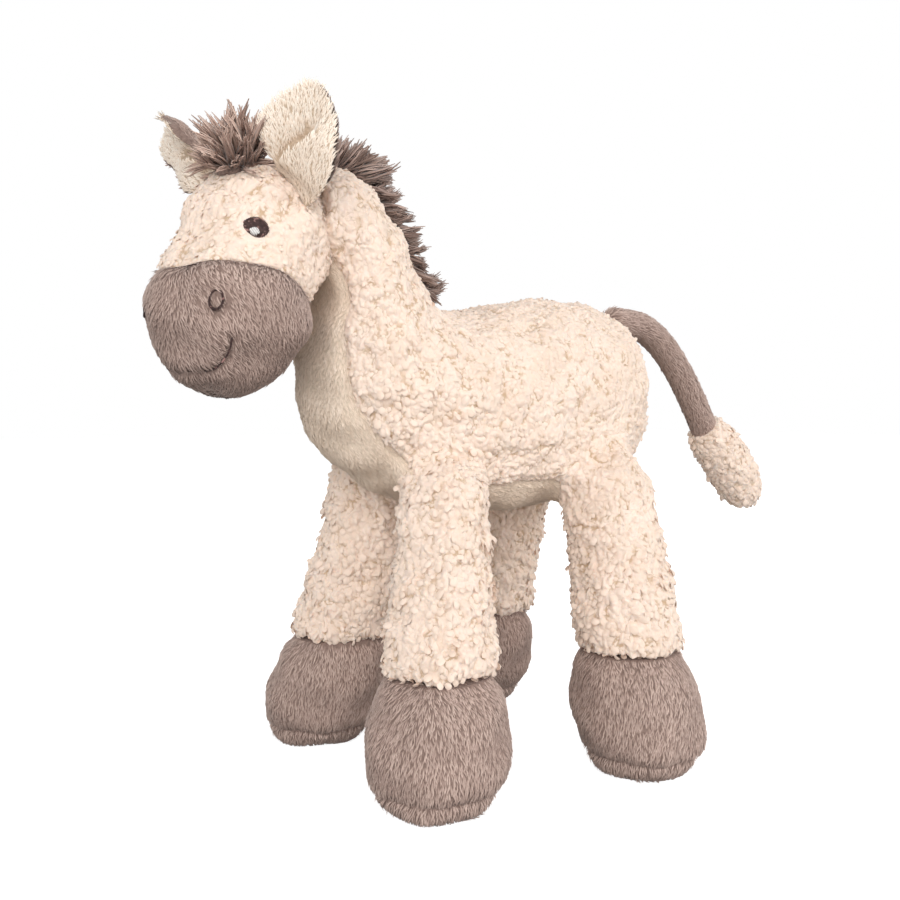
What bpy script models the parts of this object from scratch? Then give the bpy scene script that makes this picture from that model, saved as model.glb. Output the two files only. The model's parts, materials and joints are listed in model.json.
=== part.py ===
"""A plush horse that stands on four stuffed legs, as its sewn covers and the stuffing inside them.

Metres, +Z up. The horse faces -Y, its left side is +X, and the floor is z = 0.
Each cover is a closed shell of cloth with its pile. Each stuffing is a closed solid inside it.
"""

from math import cos, pi, radians, sin

import bmesh
import bpy
import numpy as np
from mathutils import Matrix, Vector

# Cloth, seams and running gaps
COVER_WALL = 0.0026
SEAM_GAP = 0.0003
FILLING_GAP = 0.0003
SOCKET_CLEARANCE = 0.0008
THREAD_THICKNESS = 0.0009

# Trunk and neck
TRUNK_LENGTH = 0.208
TRUNK_DEPTH = 0.115
TRUNK_WIDTH = 0.096
BELLY_HEIGHT = 0.123
RUMP_PLACE = 0.0789

# Head
SKULL_RADIUS = 0.035
HEAD_REACH_share = 1.07692
HEAD_RISE_share = 1.14783
HEAD_REACH = HEAD_REACH_share * TRUNK_LENGTH
HEAD_RISE = HEAD_RISE_share * TRUNK_DEPTH
HEAD_TURN = radians(18)
FACE_SLOPE = radians(64.5)
MUZZLE_LENGTH = 0.0765
MUZZLE_WIDTH = 0.0735
MUZZLE_DEPTH = 0.0665
WADDING_WALL = 0.003

# Ears
EAR_LENGTH = 0.048
EAR_WIDTH = 0.0385
EAR_LAYER = 0.0026
EAR_PIVOT_LIFT = 0.0045
EAR_LEAN = radians(23)
EAR_FORWARD = radians(17)
EAR_FACING = radians(10)
EAR_CUP = 0.0055
EAR_SEAT_SIDE = radians(58)
EAR_SEAT_FORWARD = radians(8)

# Forelock and mane
FORELOCK_RADIUS = 0.0125
FORELOCK_HEIGHT = 0.023
FORELOCK_TILT = radians(17)
FORELOCK_LOCKS = 7
MANE_HEIGHT = 0.0165
MANE_WIDTH = 0.011

# Eyes, nostrils and mouth
EYE_WIDTH = 0.0118
EYE_HEIGHT = 0.0092
GLINT_RADIUS = 0.0018
NOSTRIL_RADIUS = 0.0042
NOSTRIL_HEIGHT = 0.0092
STITCH_WIDTH = 0.0018

# Legs
HIP_LIFT = 0.012
HIP_HEIGHT = BELLY_HEIGHT + HIP_LIFT
FRONT_LEG_TOP_RADIUS = 0.0215
HIND_LEG_TOP_RADIUS = 0.0240
HOOF_RADIUS = 0.033
HOOF_HEIGHT = 0.057
SOLE_SEAM_HEIGHT = 0.0085
SOLE_FLAT_RADIUS = 0.0205
FRONT_HIP_SIDE = 0.0375
HIND_HIP_SIDE = 0.0410
FRONT_HIP_REACH_share = 0.70913
HIND_HIP_REACH_share = 0.23077
FRONT_HIP_REACH = FRONT_HIP_REACH_share * TRUNK_LENGTH
HIND_HIP_REACH = HIND_HIP_REACH_share * TRUNK_LENGTH
FRONT_FOOT_SIDE = 0.0600
HIND_FOOT_SIDE = 0.0755
FRONT_FOOT_STEP = 0.0200
FRONT_LEAN_POWER = 1.2
HIND_FOOT_STEP = 0.0060
HIND_LEAN_POWER = 0.9
HIP_SWING = radians(22)
HIP_FLARE = radians(12)

# Tail
TAIL_RADIUS = 0.0082
TAIL_REACH = 0.0760
TAIL_DROP = 0.0620
TUFT_RADIUS = 0.0150
TUFT_REACH = 0.0349
TUFT_DROP = 0.0385
TAIL_PIVOT_LIFT = 0.0036

# Faceting
TRUNK_RINGS = 22
PANEL_COLUMNS = 7
GUSSET_COLUMNS = 5
HEAD_COLUMNS = 20
LEG_COLUMNS = 14
TAIL_COLUMNS = 12
SOCKET_SEGMENTS = 24
SOCKET_SLICES = 10
TINY = 2e-3
MERGE = 1e-6
SHARP_ANGLE = radians(50)

UPPER, LOWER, LEFT = pi / 2, -pi / 2, 0.0


def paint(name, colour, roughness):
    """A cloth material of one colour."""
    material = bpy.data.materials.new(name)
    material.use_nodes = True
    shader = material.node_tree.nodes["Principled BSDF"]
    shader.inputs["Base Color"].default_value = (*colour, 1)
    shader.inputs["Roughness"].default_value = roughness
    shader.inputs["Metallic"].default_value = 0
    return material


def joint_frame(name, place, turn=0.0):
    """An empty on a joint, which carries the pieces that move with it."""
    frame = bpy.data.objects.new(name, None)
    bpy.context.collection.objects.link(frame)
    frame.location = place
    frame.rotation_euler.z = turn
    return frame


def add_piece(name, bm, material, frame=None):
    """A named piece from a finished mesh, carried by a joint's empty."""
    bmesh.ops.remove_doubles(bm, verts=bm.verts, dist=MERGE)
    bmesh.ops.dissolve_degenerate(bm, edges=bm.edges, dist=MERGE)
    bmesh.ops.triangulate(bm, faces=bm.faces, quad_method="SHORT_EDGE")
    bmesh.ops.recalc_face_normals(bm, faces=bm.faces)
    mesh = bpy.data.meshes.new(name)
    bm.to_mesh(mesh)
    bm.free()
    mesh.shade_smooth()
    mesh.set_sharp_from_angle(angle=SHARP_ANGLE)
    piece = bpy.data.objects.new(name, mesh)
    bpy.context.collection.objects.link(piece)
    piece.data.materials.append(material)
    piece.parent = frame
    return piece


def add_cutter(name, bm, frame=None):
    """A wire guide that cuts a socket or a clearance and is no piece itself."""
    bmesh.ops.recalc_face_normals(bm, faces=bm.faces)
    mesh = bpy.data.meshes.new(name)
    bm.to_mesh(mesh)
    bm.free()
    cutter = bpy.data.objects.new(name, mesh)
    bpy.context.collection.objects.link(cutter)
    cutter.display_type = "WIRE"
    cutter.hide_render = True
    cutter.parent = frame
    return cutter


def cut(piece, cutter):
    """Takes the cutter's space out of the piece."""
    difference = piece.modifiers.new(cutter.name, "BOOLEAN")
    difference.operation = "DIFFERENCE"
    difference.solver = "EXACT"
    difference.object = cutter


def ball_cutter(name, centre, radius, frame=None):
    """A round cutter for a ball socket."""
    bm = bmesh.new()
    bmesh.ops.create_uvsphere(
        bm,
        u_segments=SOCKET_SEGMENTS,
        v_segments=SOCKET_SEGMENTS // 2,
        radius=radius,
        matrix=Matrix.Translation(centre),
    )
    return add_cutter(name, bm, frame)


def through(rows, u):
    """The smooth curve through rows of values, at u from 0 at the first row to 1 at the last."""
    rows = np.asarray(rows, float)
    last = len(rows) - 1
    place = min(max(u, 0.0), 1.0) * last
    start = min(int(place), last - 1)
    t = place - start
    before = rows[max(start - 1, 0)]
    first, second = rows[start], rows[start + 1]
    after = rows[min(start + 2, last)]
    slope_in, slope_out = (second - before) / 2, (after - first) / 2
    return (
        (2 * t**3 - 3 * t**2 + 1) * first
        + (t**3 - 2 * t**2 + t) * slope_in
        + (3 * t**2 - 2 * t**3) * second
        + (t**3 - t**2) * slope_out
    )


def spread(first, last, count):
    """Evenly spaced values from first to last, with count steps between them."""
    return [first + (last - first) * i / count for i in range(count + 1)]


def along(form, u, a):
    """How far the surface moves for a unit step of u and of the angle a."""
    low, high = max(u - TINY, 0), min(u + TINY, 1)
    lengthways = (form(high, a) - form(low, a)) / (high - low)
    around = (form(u, a + TINY) - form(u, a - TINY)) / (2 * TINY)
    return lengthways, around


def slope_normal(form, u, a):
    """The unit normal of the surface's own slope, facing away from the form's middle."""
    lengthways, around = along(form, min(max(u, 2 * TINY), 1 - 2 * TINY), a)
    middle_lengthways, middle_around = along(form, 1 / 2, LEFT)
    sense = middle_lengthways.cross(middle_around).x
    return lengthways.cross(around).normalized() * (1 if sense > 0 else -1)


def outward(form, u, a):
    """The surface's unit normal, which at a pole is the same for every angle."""
    if (form(u, a) - form(u, a + pi)).length > MERGE:
        return slope_normal(form, u, a)
    quarters = [slope_normal(form, u, quarter * pi / 2) for quarter in range(4)]
    return sum(quarters, Vector()).normalized()


def sunk(form, u, a, depth):
    """The point of the surface at (u, a), moved in by depth, or out where depth is below zero."""
    return form(u, a) - outward(form, u, a) * depth


def stitch_grid(bm, grid, wrap=False):
    """Rows of points in the mesh, joined by four-sided faces."""
    rows = [[bm.verts.new(point) for point in row] for row in grid]
    for lower, upper in zip(rows, rows[1:]):
        pairs = list(zip(lower, upper))
        pairs += pairs[:1] if wrap else []
        for (a, b), (c, d) in zip(pairs, pairs[1:]):
            bm.faces.new((a, c, d, b))
    return rows


def join_edges(bm, one, other, wrap=False):
    """A strip of faces between two edges that have as many points."""
    pairs = list(zip(one, other))
    pairs += pairs[:1] if wrap else []
    for (a, b), (c, d) in zip(pairs, pairs[1:]):
        bm.faces.new((a, c, d, b))


def closed_form(grid):
    """A solid from rings of points. A first or last ring that isn't a point gets an end face."""
    bm = bmesh.new()
    rows = stitch_grid(bm, grid, wrap=True)
    for ring in (rows[0], rows[-1]):
        if max((vert.co - ring[0].co).length for vert in ring) > MERGE:
            bm.faces.new(ring)
    return bm


def tube_shell(outer, inner):
    """A cover that goes all the way round, open at each end that isn't a point."""
    bm = bmesh.new()
    skin, lining = stitch_grid(bm, outer, wrap=True), stitch_grid(bm, inner, wrap=True)
    for end in (0, -1):
        join_edges(bm, skin[end], lining[end], wrap=True)
    return bm


def panel_shell(outer, inner):
    """A cover panel with four edges."""
    bm = bmesh.new()
    skin, lining = stitch_grid(bm, outer), stitch_grid(bm, inner)
    for end in (0, -1):
        join_edges(bm, skin[end], lining[end])
        join_edges(bm, [row[end] for row in skin], [row[end] for row in lining])
    return bm


def around_angles(columns):
    """Evenly spaced angles once around."""
    return spread(0, 2 * pi, columns)[:-1]


def rings_at(form, places, angles, depth):
    """A grid of the form's points, one ring for each place, moved in by depth."""
    return [[sunk(form, u, a, depth) for a in angles] for u in places]


def seam_step(form, u):
    """Half a seam's gap, as a step of u."""
    lengthways, _ = along(form, u, UPPER)
    return SEAM_GAP / 2 / lengthways.length


def oval_patch(form, u, a, half_long, half_round, low, thickness, rings, spokes, hole=0.0):
    """A round patch of thread lying on the form, with its middle at (u, a)."""
    lengthways, around = along(form, u, a)
    scale_u, scale_a = half_long / lengthways.length, half_round / around.length

    def layer(height):
        return [
            [
                sunk(form, u + share * scale_u * cos(turn), a + share * scale_a * sin(turn), -height)
                for turn in around_angles(spokes)
            ]
            for share in spread(hole, 1.0, rings)
        ]

    return tube_shell(layer(low + thickness), layer(low))


# Trunk form. Rows of the back line, the belly line, the half width and the belly panel's half angle,
# from the rump to the head. The first and third are shares of the trunk's length forward of the rump,
# the second and fourth shares of its depth above the belly, the fifth a share of half its width.
TRUNK_ROW_shares = [
    (0.000, 0.690, 0.000, 0.420, 0.00, 0.10),
    (0.010, 0.790, 0.008, 0.300, 0.34, 0.20),
    (0.034, 0.880, 0.024, 0.215, 0.58, 0.42),
    (0.085, 0.950, 0.065, 0.140, 0.80, 0.62),
    (0.165, 0.985, 0.145, 0.085, 0.93, 0.72),
    (0.260, 1.000, 0.245, 0.045, 0.99, 0.76),
    (0.360, 0.990, 0.350, 0.010, 1.00, 0.78),
    (0.465, 0.960, 0.460, 0.000, 1.00, 0.78),
    (0.555, 0.925, 0.575, 0.012, 0.99, 0.76),
    (0.612, 0.910, 0.700, 0.070, 0.96, 0.76),
    (0.648, 0.938, 0.828, 0.155, 0.91, 0.78),
    (0.676, 0.988, 0.921, 0.292, 0.86, 0.80),
    (0.702, 1.060, 0.966, 0.455, 0.81, 0.80),
    (0.728, 1.165, 0.974, 0.612, 0.77, 0.78),
    (0.764, 1.280, 0.962, 0.745, 0.74, 0.74),
    (0.822, 1.392, 0.938, 0.862, 0.72, 0.70),
    (0.896, 1.462, 0.946, 0.975, 0.70, 0.66),
    (0.968, 1.412, 0.990, 1.065, 0.66, 0.62),
]


def trunk_form(u, a):
    """The trunk and neck's surface, u from the rump to the head, a around from the left side."""
    back_y, back_z, belly_y, belly_z, half_width, _ = through(TRUNK_ROW_shares, u)
    back = Vector((0, RUMP_PLACE - back_y * TRUNK_LENGTH, BELLY_HEIGHT + back_z * TRUNK_DEPTH))
    belly = Vector((0, RUMP_PLACE - belly_y * TRUNK_LENGTH, BELLY_HEIGHT + belly_z * TRUNK_DEPTH))
    side = Vector((max(half_width, 0.0) * TRUNK_WIDTH / 2, 0, 0))
    return (back + belly) / 2 + side * cos(a) + (back - belly) / 2 * sin(a)


def gusset_angle(u):
    """Half the angle that the belly panel takes up at u."""
    return through(TRUNK_ROW_shares, u)[5]


def seam_angle(u, away):
    """The left edge of the belly panel, moved away from the panel's middle by a length."""
    a = LOWER + gusset_angle(u)
    _, around = along(trunk_form, u, a)
    return a + away / around.length


def kept_left(point):
    """The point, kept on the left of the middle seam."""
    return Vector((max(point.x, SEAM_GAP / 2), point.y, point.z))


TRUNK_PLACES = spread(0, 1, TRUNK_RINGS)


def panel_angles(u, away):
    """The left side panel's angles, from the belly panel's edge to the middle seam on top."""
    return spread(seam_angle(u, away), UPPER, PANEL_COLUMNS)


def gusset_angles(u, away):
    """The belly panel's angles, from its right edge to its left."""
    half = seam_angle(u, -away) - LOWER
    return spread(LOWER - half, LOWER + half, GUSSET_COLUMNS)


def body_panel(side):
    """One side panel of the trunk and neck, from the belly panel's edge to the middle seam on top."""
    grids = []
    for depth in (0.0, COVER_WALL):
        grid = []
        for u in TRUNK_PLACES:
            row = []
            for a in panel_angles(u, SEAM_GAP / 2):
                point = kept_left(sunk(trunk_form, u, a, depth))
                row.append(Vector((side * point.x, point.y, point.z)))
            grid.append(row)
        grids.append(grid)
    return panel_shell(*grids)


def belly_gusset():
    """The smooth panel under the trunk, from between the hind legs up the chest to the throat."""
    grids = []
    for depth in (0.0, COVER_WALL):
        grid = []
        for u in TRUNK_PLACES[1:]:
            grid.append([sunk(trunk_form, u, a, depth) for a in gusset_angles(u, SEAM_GAP / 2)])
        grids.append(grid)
    return panel_shell(*grids)


def body_filling():
    """The fibre that fills the trunk and neck."""
    depth = COVER_WALL + FILLING_GAP
    grid = []
    for u in TRUNK_PLACES[1:]:
        left = panel_angles(u, 0.0)
        right = [pi - a for a in left[::-1]]
        angles = gusset_angles(u, 0.0) + left[1:] + right[1:-1]
        grid.append([sunk(trunk_form, u, a, depth) for a in angles])
    return closed_form(grid)


# The mane runs along the neck's crest. Heights are shares of the mane's height, tuft by tuft.
MANE_SPAN_share = (0.605, 0.930)
MANE_HEIGHT_shares = (0.45, 0.95, 0.72, 1.05, 0.78, 1.12, 0.82, 1.12, 0.85, 1.08, 0.80, 1.08, 0.85, 1.0, 0.72)


def neck_mane():
    """The long-pile strip sewn into the crest seam, in tufts."""
    profile = []
    steps = len(MANE_HEIGHT_shares) - 1
    for u, share in zip(spread(*MANE_SPAN_share, steps), MANE_HEIGHT_shares):
        _, around = along(trunk_form, u, UPPER)
        half = MANE_WIDTH / 2 / around.length
        up = outward(trunk_form, u, UPPER)
        crest = sunk(trunk_form, u, UPPER, -SEAM_GAP)
        left = sunk(trunk_form, u, UPPER - half, -SEAM_GAP)
        right = sunk(trunk_form, u, UPPER + half, -SEAM_GAP)
        rise = up * (share * MANE_HEIGHT)
        side = Vector((MANE_WIDTH / 3, 0, 0))
        profile.append(
            [left, crest, right, crest - side + rise * 2 / 3, crest + rise, crest + side + rise * 2 / 3]
        )
    return closed_form(profile)


# Head form in the head's own frame: the skull's centre is its origin and it faces -Y.
# Rows along the face's axis: place, the ring's shift toward the brow, half depth and half width,
# as shares of the muzzle's length, and of the skull's radius or the muzzle's half depth and width.
SKULL_ARC_steps = 4
MUZZLE_ROW_shares = [
    (0.19, 0.020, 0.98, 0.93),
    (0.36, 0.040, 0.98, 0.90),
    (0.52, 0.030, 1.00, 0.98),
    (0.67, 0.010, 0.95, 0.97),
    (0.82, -0.010, 0.79, 0.82),
    (0.93, -0.020, 0.53, 0.56),
    (0.985, -0.030, 0.26, 0.28),
    (1.0, -0.030, 0.0, 0.0),
]
FACE_AXIS = Vector((0, -cos(FACE_SLOPE), -sin(FACE_SLOPE)))
BROW_AXIS = Vector((0, -sin(FACE_SLOPE), cos(FACE_SLOPE)))


def head_rows():
    """The head's rings: place along the face, shift, half depth and half width, in metres."""
    rows = []
    for step in range(SKULL_ARC_steps + 1):
        angle = pi / 2 * step / SKULL_ARC_steps
        rows.append((-SKULL_RADIUS * cos(angle), 0, SKULL_RADIUS * sin(angle), SKULL_RADIUS * sin(angle)))
    for place, shift, depth, width in MUZZLE_ROW_shares:
        half_depth, half_width = depth * MUZZLE_DEPTH / 2, width * MUZZLE_WIDTH / 2
        rows.append((place * MUZZLE_LENGTH, shift * MUZZLE_DEPTH, half_depth, half_width))
    return np.array(rows)


HEAD_ROWS = head_rows()
MUZZLE_SEAM_share = 0.483
BROW_SEAM_share = 0.556
COVER_RINGS = 8
MUZZLE_RINGS = 7


def head_form(u, a):
    """The head's surface, u from the poll to the chin, a around from the left cheek over the brow."""
    place, shift, half_depth, half_width = through(HEAD_ROWS, u)
    side = Vector((max(half_width, 0.0), 0, 0))
    return (
        FACE_AXIS * place
        + BROW_AXIS * (shift + max(half_depth, 0.0) * sin(a))
        + side * cos(a)
    )


def muzzle_seam(a):
    """The place of the muzzle's seam, which sits lower across the brow than under the jaw."""
    brow = max(sin(a), 0.0)
    return MUZZLE_SEAM_share + (BROW_SEAM_share - MUZZLE_SEAM_share) * brow**2


def cover_places(a):
    """The head cover's places at an angle, from the poll to the muzzle's seam."""
    seam = muzzle_seam(a)
    return spread(0, seam - seam_step(head_form, seam), COVER_RINGS)


def muzzle_places(a):
    """The muzzle's places at an angle, from its seam to the chin."""
    seam = muzzle_seam(a)
    return spread(seam + seam_step(head_form, seam), 1.0, MUZZLE_RINGS)


def head_grid(places_at, angles, depth):
    """A grid of the head's points, with places of its own at every angle."""
    columns = [[sunk(head_form, u, a, depth) for u in places_at(a)] for a in angles]
    return [list(row) for row in zip(*columns)]


def head_cover(side):
    """One side of the curly head cover, from the poll to the muzzle's seam."""
    angles = spread(LOWER, UPPER, HEAD_COLUMNS // 2)
    grids = []
    for depth in (0.0, COVER_WALL):
        grid = []
        for row in head_grid(cover_places, angles, depth):
            kept = [kept_left(point) for point in row]
            grid.append([Vector((side * point.x, point.y, point.z)) for point in kept])
        grids.append(grid)
    return panel_shell(*grids)


def muzzle_cover():
    """The short-pile cap over the muzzle."""
    angles = around_angles(HEAD_COLUMNS)
    return tube_shell(*(head_grid(muzzle_places, angles, depth) for depth in (0.0, COVER_WALL)))


def head_filling():
    """The fibre that fills the head."""
    angles, depth = around_angles(HEAD_COLUMNS), COVER_WALL + FILLING_GAP
    return closed_form(
        head_grid(cover_places, angles, depth) + head_grid(muzzle_places, angles, depth)
    )


WADDING_TILT = radians(12)
WADDING_SPREAD = radians(24)
WADDING_RINGS = 3


def neck_wadding():
    """The dome of firm fibre in the neck's opening, which the head rests and turns on."""
    low = SKULL_RADIUS + SOCKET_CLEARANCE

    def dome(radius):
        rings = []
        for tilt in spread(0, WADDING_SPREAD, WADDING_RINGS):
            ring = []
            for a in around_angles(HEAD_COLUMNS):
                point = Vector((sin(tilt) * cos(a), cos(tilt), sin(tilt) * sin(a))) * radius
                ring.append(Matrix.Rotation(WADDING_TILT, 3, "X") @ point)
            rings.append(ring)
        return rings

    return tube_shell(dome(low + WADDING_WALL), dome(low))


def on_head(side_angle, forward_angle):
    """A direction from the skull's centre: up, leant to the left and then forward."""
    lean = Matrix.Rotation(side_angle, 3, "Y")
    tip = Matrix.Rotation(forward_angle, 3, "X")
    return tip @ (lean @ Vector((0, 0, 1)))


# Ear rows from root to tip: height, half width, cup and layer thickness,
# as shares of the ear's length, half its width, its cup and one layer.
EAR_ROW_shares = [
    (0.00, 0.36, 0.20, 0.55),
    (0.09, 0.60, 0.75, 0.85),
    (0.24, 0.88, 1.00, 1.00),
    (0.42, 1.00, 0.85, 1.00),
    (0.60, 0.95, 0.65, 1.00),
    (0.77, 0.74, 0.40, 0.95),
    (0.90, 0.45, 0.20, 0.80),
    (1.00, 0.14, 0.05, 0.55),
]
EAR_ROOT_SLOPE_share = 0.70
EAR_ROOT_REACH_share = 1.17
EAR_COLUMNS = 6
EAR_ROWS = 11


def ear_layer(side, front):
    """One layer of an ear in its joint's frame: the pale lining in front, or the back."""
    lean = Matrix.Rotation(side * EAR_LEAN, 3, "Y")
    face = Matrix.Rotation(side * EAR_FACING, 3, "Z")
    tip = Matrix.Rotation(EAR_FORWARD, 3, "X")
    turn = tip @ lean @ face
    grids = []
    for layer in (0.0, 1.0):
        grid = []
        for u in spread(0, 1, EAR_ROWS):
            height, half, cup, thick = through(EAR_ROW_shares, u)
            row = []
            for across in spread(-1.0, 1.0, EAR_COLUMNS):
                bow = -cup * EAR_CUP * across**2
                sheet = SEAM_GAP / 2 + layer * thick * EAR_LAYER
                depth = bow + (-sheet if front else sheet)
                place = across * half * EAR_WIDTH / 2
                slope = side * place * EAR_ROOT_SLOPE_share * (1 - u)
                rise = height * EAR_LENGTH - EAR_ROOT_REACH_share * EAR_PIVOT_LIFT - slope
                row.append(turn @ Vector((place, depth, rise)))
            grid.append(row)
        grids.append(grid)
    return panel_shell(*grids)


# Forelock rows: height above the brow, radius and how deep its locks are cut, as shares
FORELOCK_ROW_shares = [
    (-0.16, 0.55, 0.00),
    (0.10, 0.85, 0.08),
    (0.32, 1.12, 0.18),
    (0.55, 1.05, 0.26),
    (0.78, 0.72, 0.32),
    (1.00, 0.20, 0.20),
]


def forelock():
    """The clump of long pile on the brow, as locks round a common root."""
    tilt = Matrix.Rotation(FORELOCK_TILT, 3, "X")
    rows = []
    for height, radius, lobe in FORELOCK_ROW_shares:
        ring = []
        for a in around_angles(4 * FORELOCK_LOCKS):
            reach = radius * FORELOCK_RADIUS * (1 + lobe * cos(FORELOCK_LOCKS * a))
            rise = SKULL_RADIUS + height * FORELOCK_HEIGHT
            ring.append(tilt @ Vector((reach * cos(a), reach * sin(a), rise)))
        rows.append(ring)
    return closed_form(rows)


# Places on the head, as shares of the way from the poll to the chin, and angles up from the left side
EYE_share, EYE_ANGLE = 0.399, radians(39)
NOSTRIL_share, NOSTRIL_ANGLE = 0.647, radians(48)
GLINT_DOWN_share = 0.015

# The mouth's left half from its corner: place on the head, and angle as a share of the way
# from the middle of the face to the left side
MOUTH_ROW_shares = [(0.720, 0.68), (0.785, 0.70), (0.840, 0.62), (0.866, 0.42), (0.876, 0.20)]


def mirrored(bm):
    """The same piece on the other side of the middle."""
    bmesh.ops.scale(bm, vec=Vector((-1, 1, 1)), verts=bm.verts)
    return bm


def eye():
    """The left eye's embroidered patch."""
    return oval_patch(
        head_form, EYE_share, EYE_ANGLE, EYE_HEIGHT / 2, EYE_WIDTH / 2, SEAM_GAP, THREAD_THICKNESS, 2, 14
    )


def eye_glint():
    """The white stitches in the left eye."""
    lift = SEAM_GAP + THREAD_THICKNESS + SEAM_GAP
    return oval_patch(
        head_form,
        EYE_share + GLINT_DOWN_share,
        EYE_ANGLE,
        GLINT_RADIUS,
        GLINT_RADIUS,
        lift,
        THREAD_THICKNESS / 2,
        1,
        8,
    )


def nostril():
    """The left nostril's embroidered ring."""
    hole = 1 - 2 * STITCH_WIDTH / NOSTRIL_HEIGHT
    return oval_patch(
        head_form,
        NOSTRIL_share,
        NOSTRIL_ANGLE,
        NOSTRIL_HEIGHT / 2,
        NOSTRIL_RADIUS,
        SEAM_GAP,
        THREAD_THICKNESS,
        1,
        16,
        hole,
    )


def mouth():
    """The smile, one line of stitches round the front of the muzzle."""
    path = [(u, UPPER - share * UPPER) for u, share in MOUTH_ROW_shares]
    path += [(MOUTH_ROW_shares[-1][0], UPPER)]
    path += [(u, pi - a) for u, a in path[-2::-1]]
    grids = []
    for height in (SEAM_GAP + THREAD_THICKNESS, SEAM_GAP):
        points = [sunk(head_form, u, a, -height) for u, a in path]
        rows = []
        for i, (u, a) in enumerate(path):
            ahead = points[min(i + 1, len(points) - 1)] - points[max(i - 1, 0)]
            side = ahead.cross(outward(head_form, u, a)).normalized() * (STITCH_WIDTH / 2)
            rows.append([points[i] - side, points[i] + side])
        grids.append(rows)
    return panel_shell(*grids)


# Leg rows below the hip: height as a share of the hip's height, radius as a share of the way
# from the leg's top radius to the cuff's. Hoof rows: height and radius as shares of the hoof's.
LEG_ROW_shares = [
    (0.78, 0.25),
    (0.60, 0.62),
    (0.47, 0.95),
]
CUFF_share = 0.83
HOOF_ROW_shares = [
    (1.00, 0.800),
    (0.80, 0.925),
    (0.55, 1.000),
    (0.32, 0.985),
]
LEG_ARC_steps = 4


def leg_rows(top_radius):
    """A leg's rings from the top of its ball to the sole: height and radius, in metres."""
    rows = []
    for step in range(LEG_ARC_steps + 1):
        angle = pi / 2 * step / LEG_ARC_steps
        rows.append((HIP_HEIGHT + top_radius * cos(angle), top_radius * sin(angle)))
    for height, growth in LEG_ROW_shares:
        radius = top_radius + growth * (CUFF_share * HOOF_RADIUS - top_radius)
        rows.append((height * HIP_HEIGHT, radius))
    for height, radius in HOOF_ROW_shares:
        rows.append((height * HOOF_HEIGHT, radius * HOOF_RADIUS))
    rows.append((SOLE_SEAM_HEIGHT, (SOLE_FLAT_RADIUS + 2 * HOOF_RADIUS) / 3))
    rows.append((0, SOLE_FLAT_RADIUS))
    rows.append((0, SOLE_FLAT_RADIUS / 2))
    rows.append((0, 0))
    return np.array(rows)


CUFF_ROW = LEG_ARC_steps + len(LEG_ROW_shares) + 1
SOLE_ROW = CUFF_ROW + len(HOOF_ROW_shares)
LAST_LEG_ROW = SOLE_ROW + 3
CUFF = CUFF_ROW / LAST_LEG_ROW
SOLE_SEAM = SOLE_ROW / LAST_LEG_ROW


def leg_form_at(hip, foot, top_radius, lean_power):
    """A leg's surface from its hip to its foot, u from the top of the ball to the sole's middle."""
    rows = leg_rows(top_radius)

    def form(u, a):
        height, radius = through(rows, u)
        height, radius = max(height, 0.0), max(radius, 0.0)
        drop = max(HIP_HEIGHT - height, 0.0) / HIP_HEIGHT
        centre = Vector((0, 0, height - HIP_HEIGHT))
        centre.xy = (foot - hip).xy * drop**lean_power
        return centre + Vector((cos(a), sin(a), 0)) * radius

    return form


def leg_pieces(name, form, frame):
    """One leg: its curly sleeve, its hoof, its sole and the fibre inside."""
    angles = around_angles(LEG_COLUMNS)
    cuff_step, sole_step = seam_step(form, CUFF), seam_step(form, SOLE_SEAM)
    sleeve = spread(0, CUFF - cuff_step, 9)
    hoof = spread(CUFF + cuff_step, SOLE_SEAM - sole_step, 5)
    sole = spread(SOLE_SEAM + sole_step, 1, 3)
    for piece, places, material in (
        ("sleeve", sleeve, CURLY),
        ("hoof", hoof, TAUPE),
        ("sole", sole, TAUPE),
    ):
        grids = (rings_at(form, places, angles, depth) for depth in (0.0, COVER_WALL))
        add_piece(f"{name}_{piece}", tube_shell(*grids), material, frame)
    depth = COVER_WALL + FILLING_GAP
    grid = rings_at(form, sleeve + hoof + sole, angles, depth)
    add_piece(f"{name}_filling", closed_form(grid), FIBRE, frame)


def hip_cutter(name, hip, top_radius):
    """The space that a leg's top takes up as it swings fore and aft."""
    radius = (top_radius + SOCKET_CLEARANCE) / cos(pi / 2 / SOCKET_SLICES)
    open_angle = HIP_SWING + HIP_FLARE
    slices = []
    for turn in spread(0, pi, SOCKET_SLICES):
        half = radius * sin(turn)
        outline = []
        for a in spread(open_angle, pi - open_angle, SOCKET_SLICES):
            outline.append((half * cos(a), half * sin(a)))
        reach = HOOF_HEIGHT
        left_y, left_z = outline[-1]
        outline.append((left_y - reach * sin(open_angle), left_z - reach * cos(open_angle)))
        right_y, right_z = outline[0]
        outline.append((right_y + reach * sin(open_angle), right_z - reach * cos(open_angle)))
        x = -radius * cos(turn)
        slices.append([hip + Vector((x, y, z)) for y, z in outline])
    bm = closed_form(slices)
    bmesh.ops.remove_doubles(bm, verts=bm.verts, dist=MERGE)
    bmesh.ops.dissolve_degenerate(bm, edges=bm.edges, dist=MERGE)
    bmesh.ops.triangulate(bm, faces=bm.faces)
    return add_cutter(name, bm)


TAIL_SEAT_share = 0.125

# Tail line, behind and below its pivot: shares of the tube's reach and drop, then of the tuft's
TAIL_LINE_shares = [(0.0, 0.0), (0.30, 0.03), (0.63, 0.25), (0.89, 0.60), (1.0, 1.0)]
TUFT_LINE_shares = [(0.0, 0.0), (0.22, 0.20), (0.50, 0.45), (0.80, 0.76), (1.0, 1.0)]
TUFT_RADIUS_shares = [0.62, 0.88, 1.0, 1.0, 0.80]
TUFT_START_share = 0.13
TAIL_BALL_steps = 4


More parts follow.
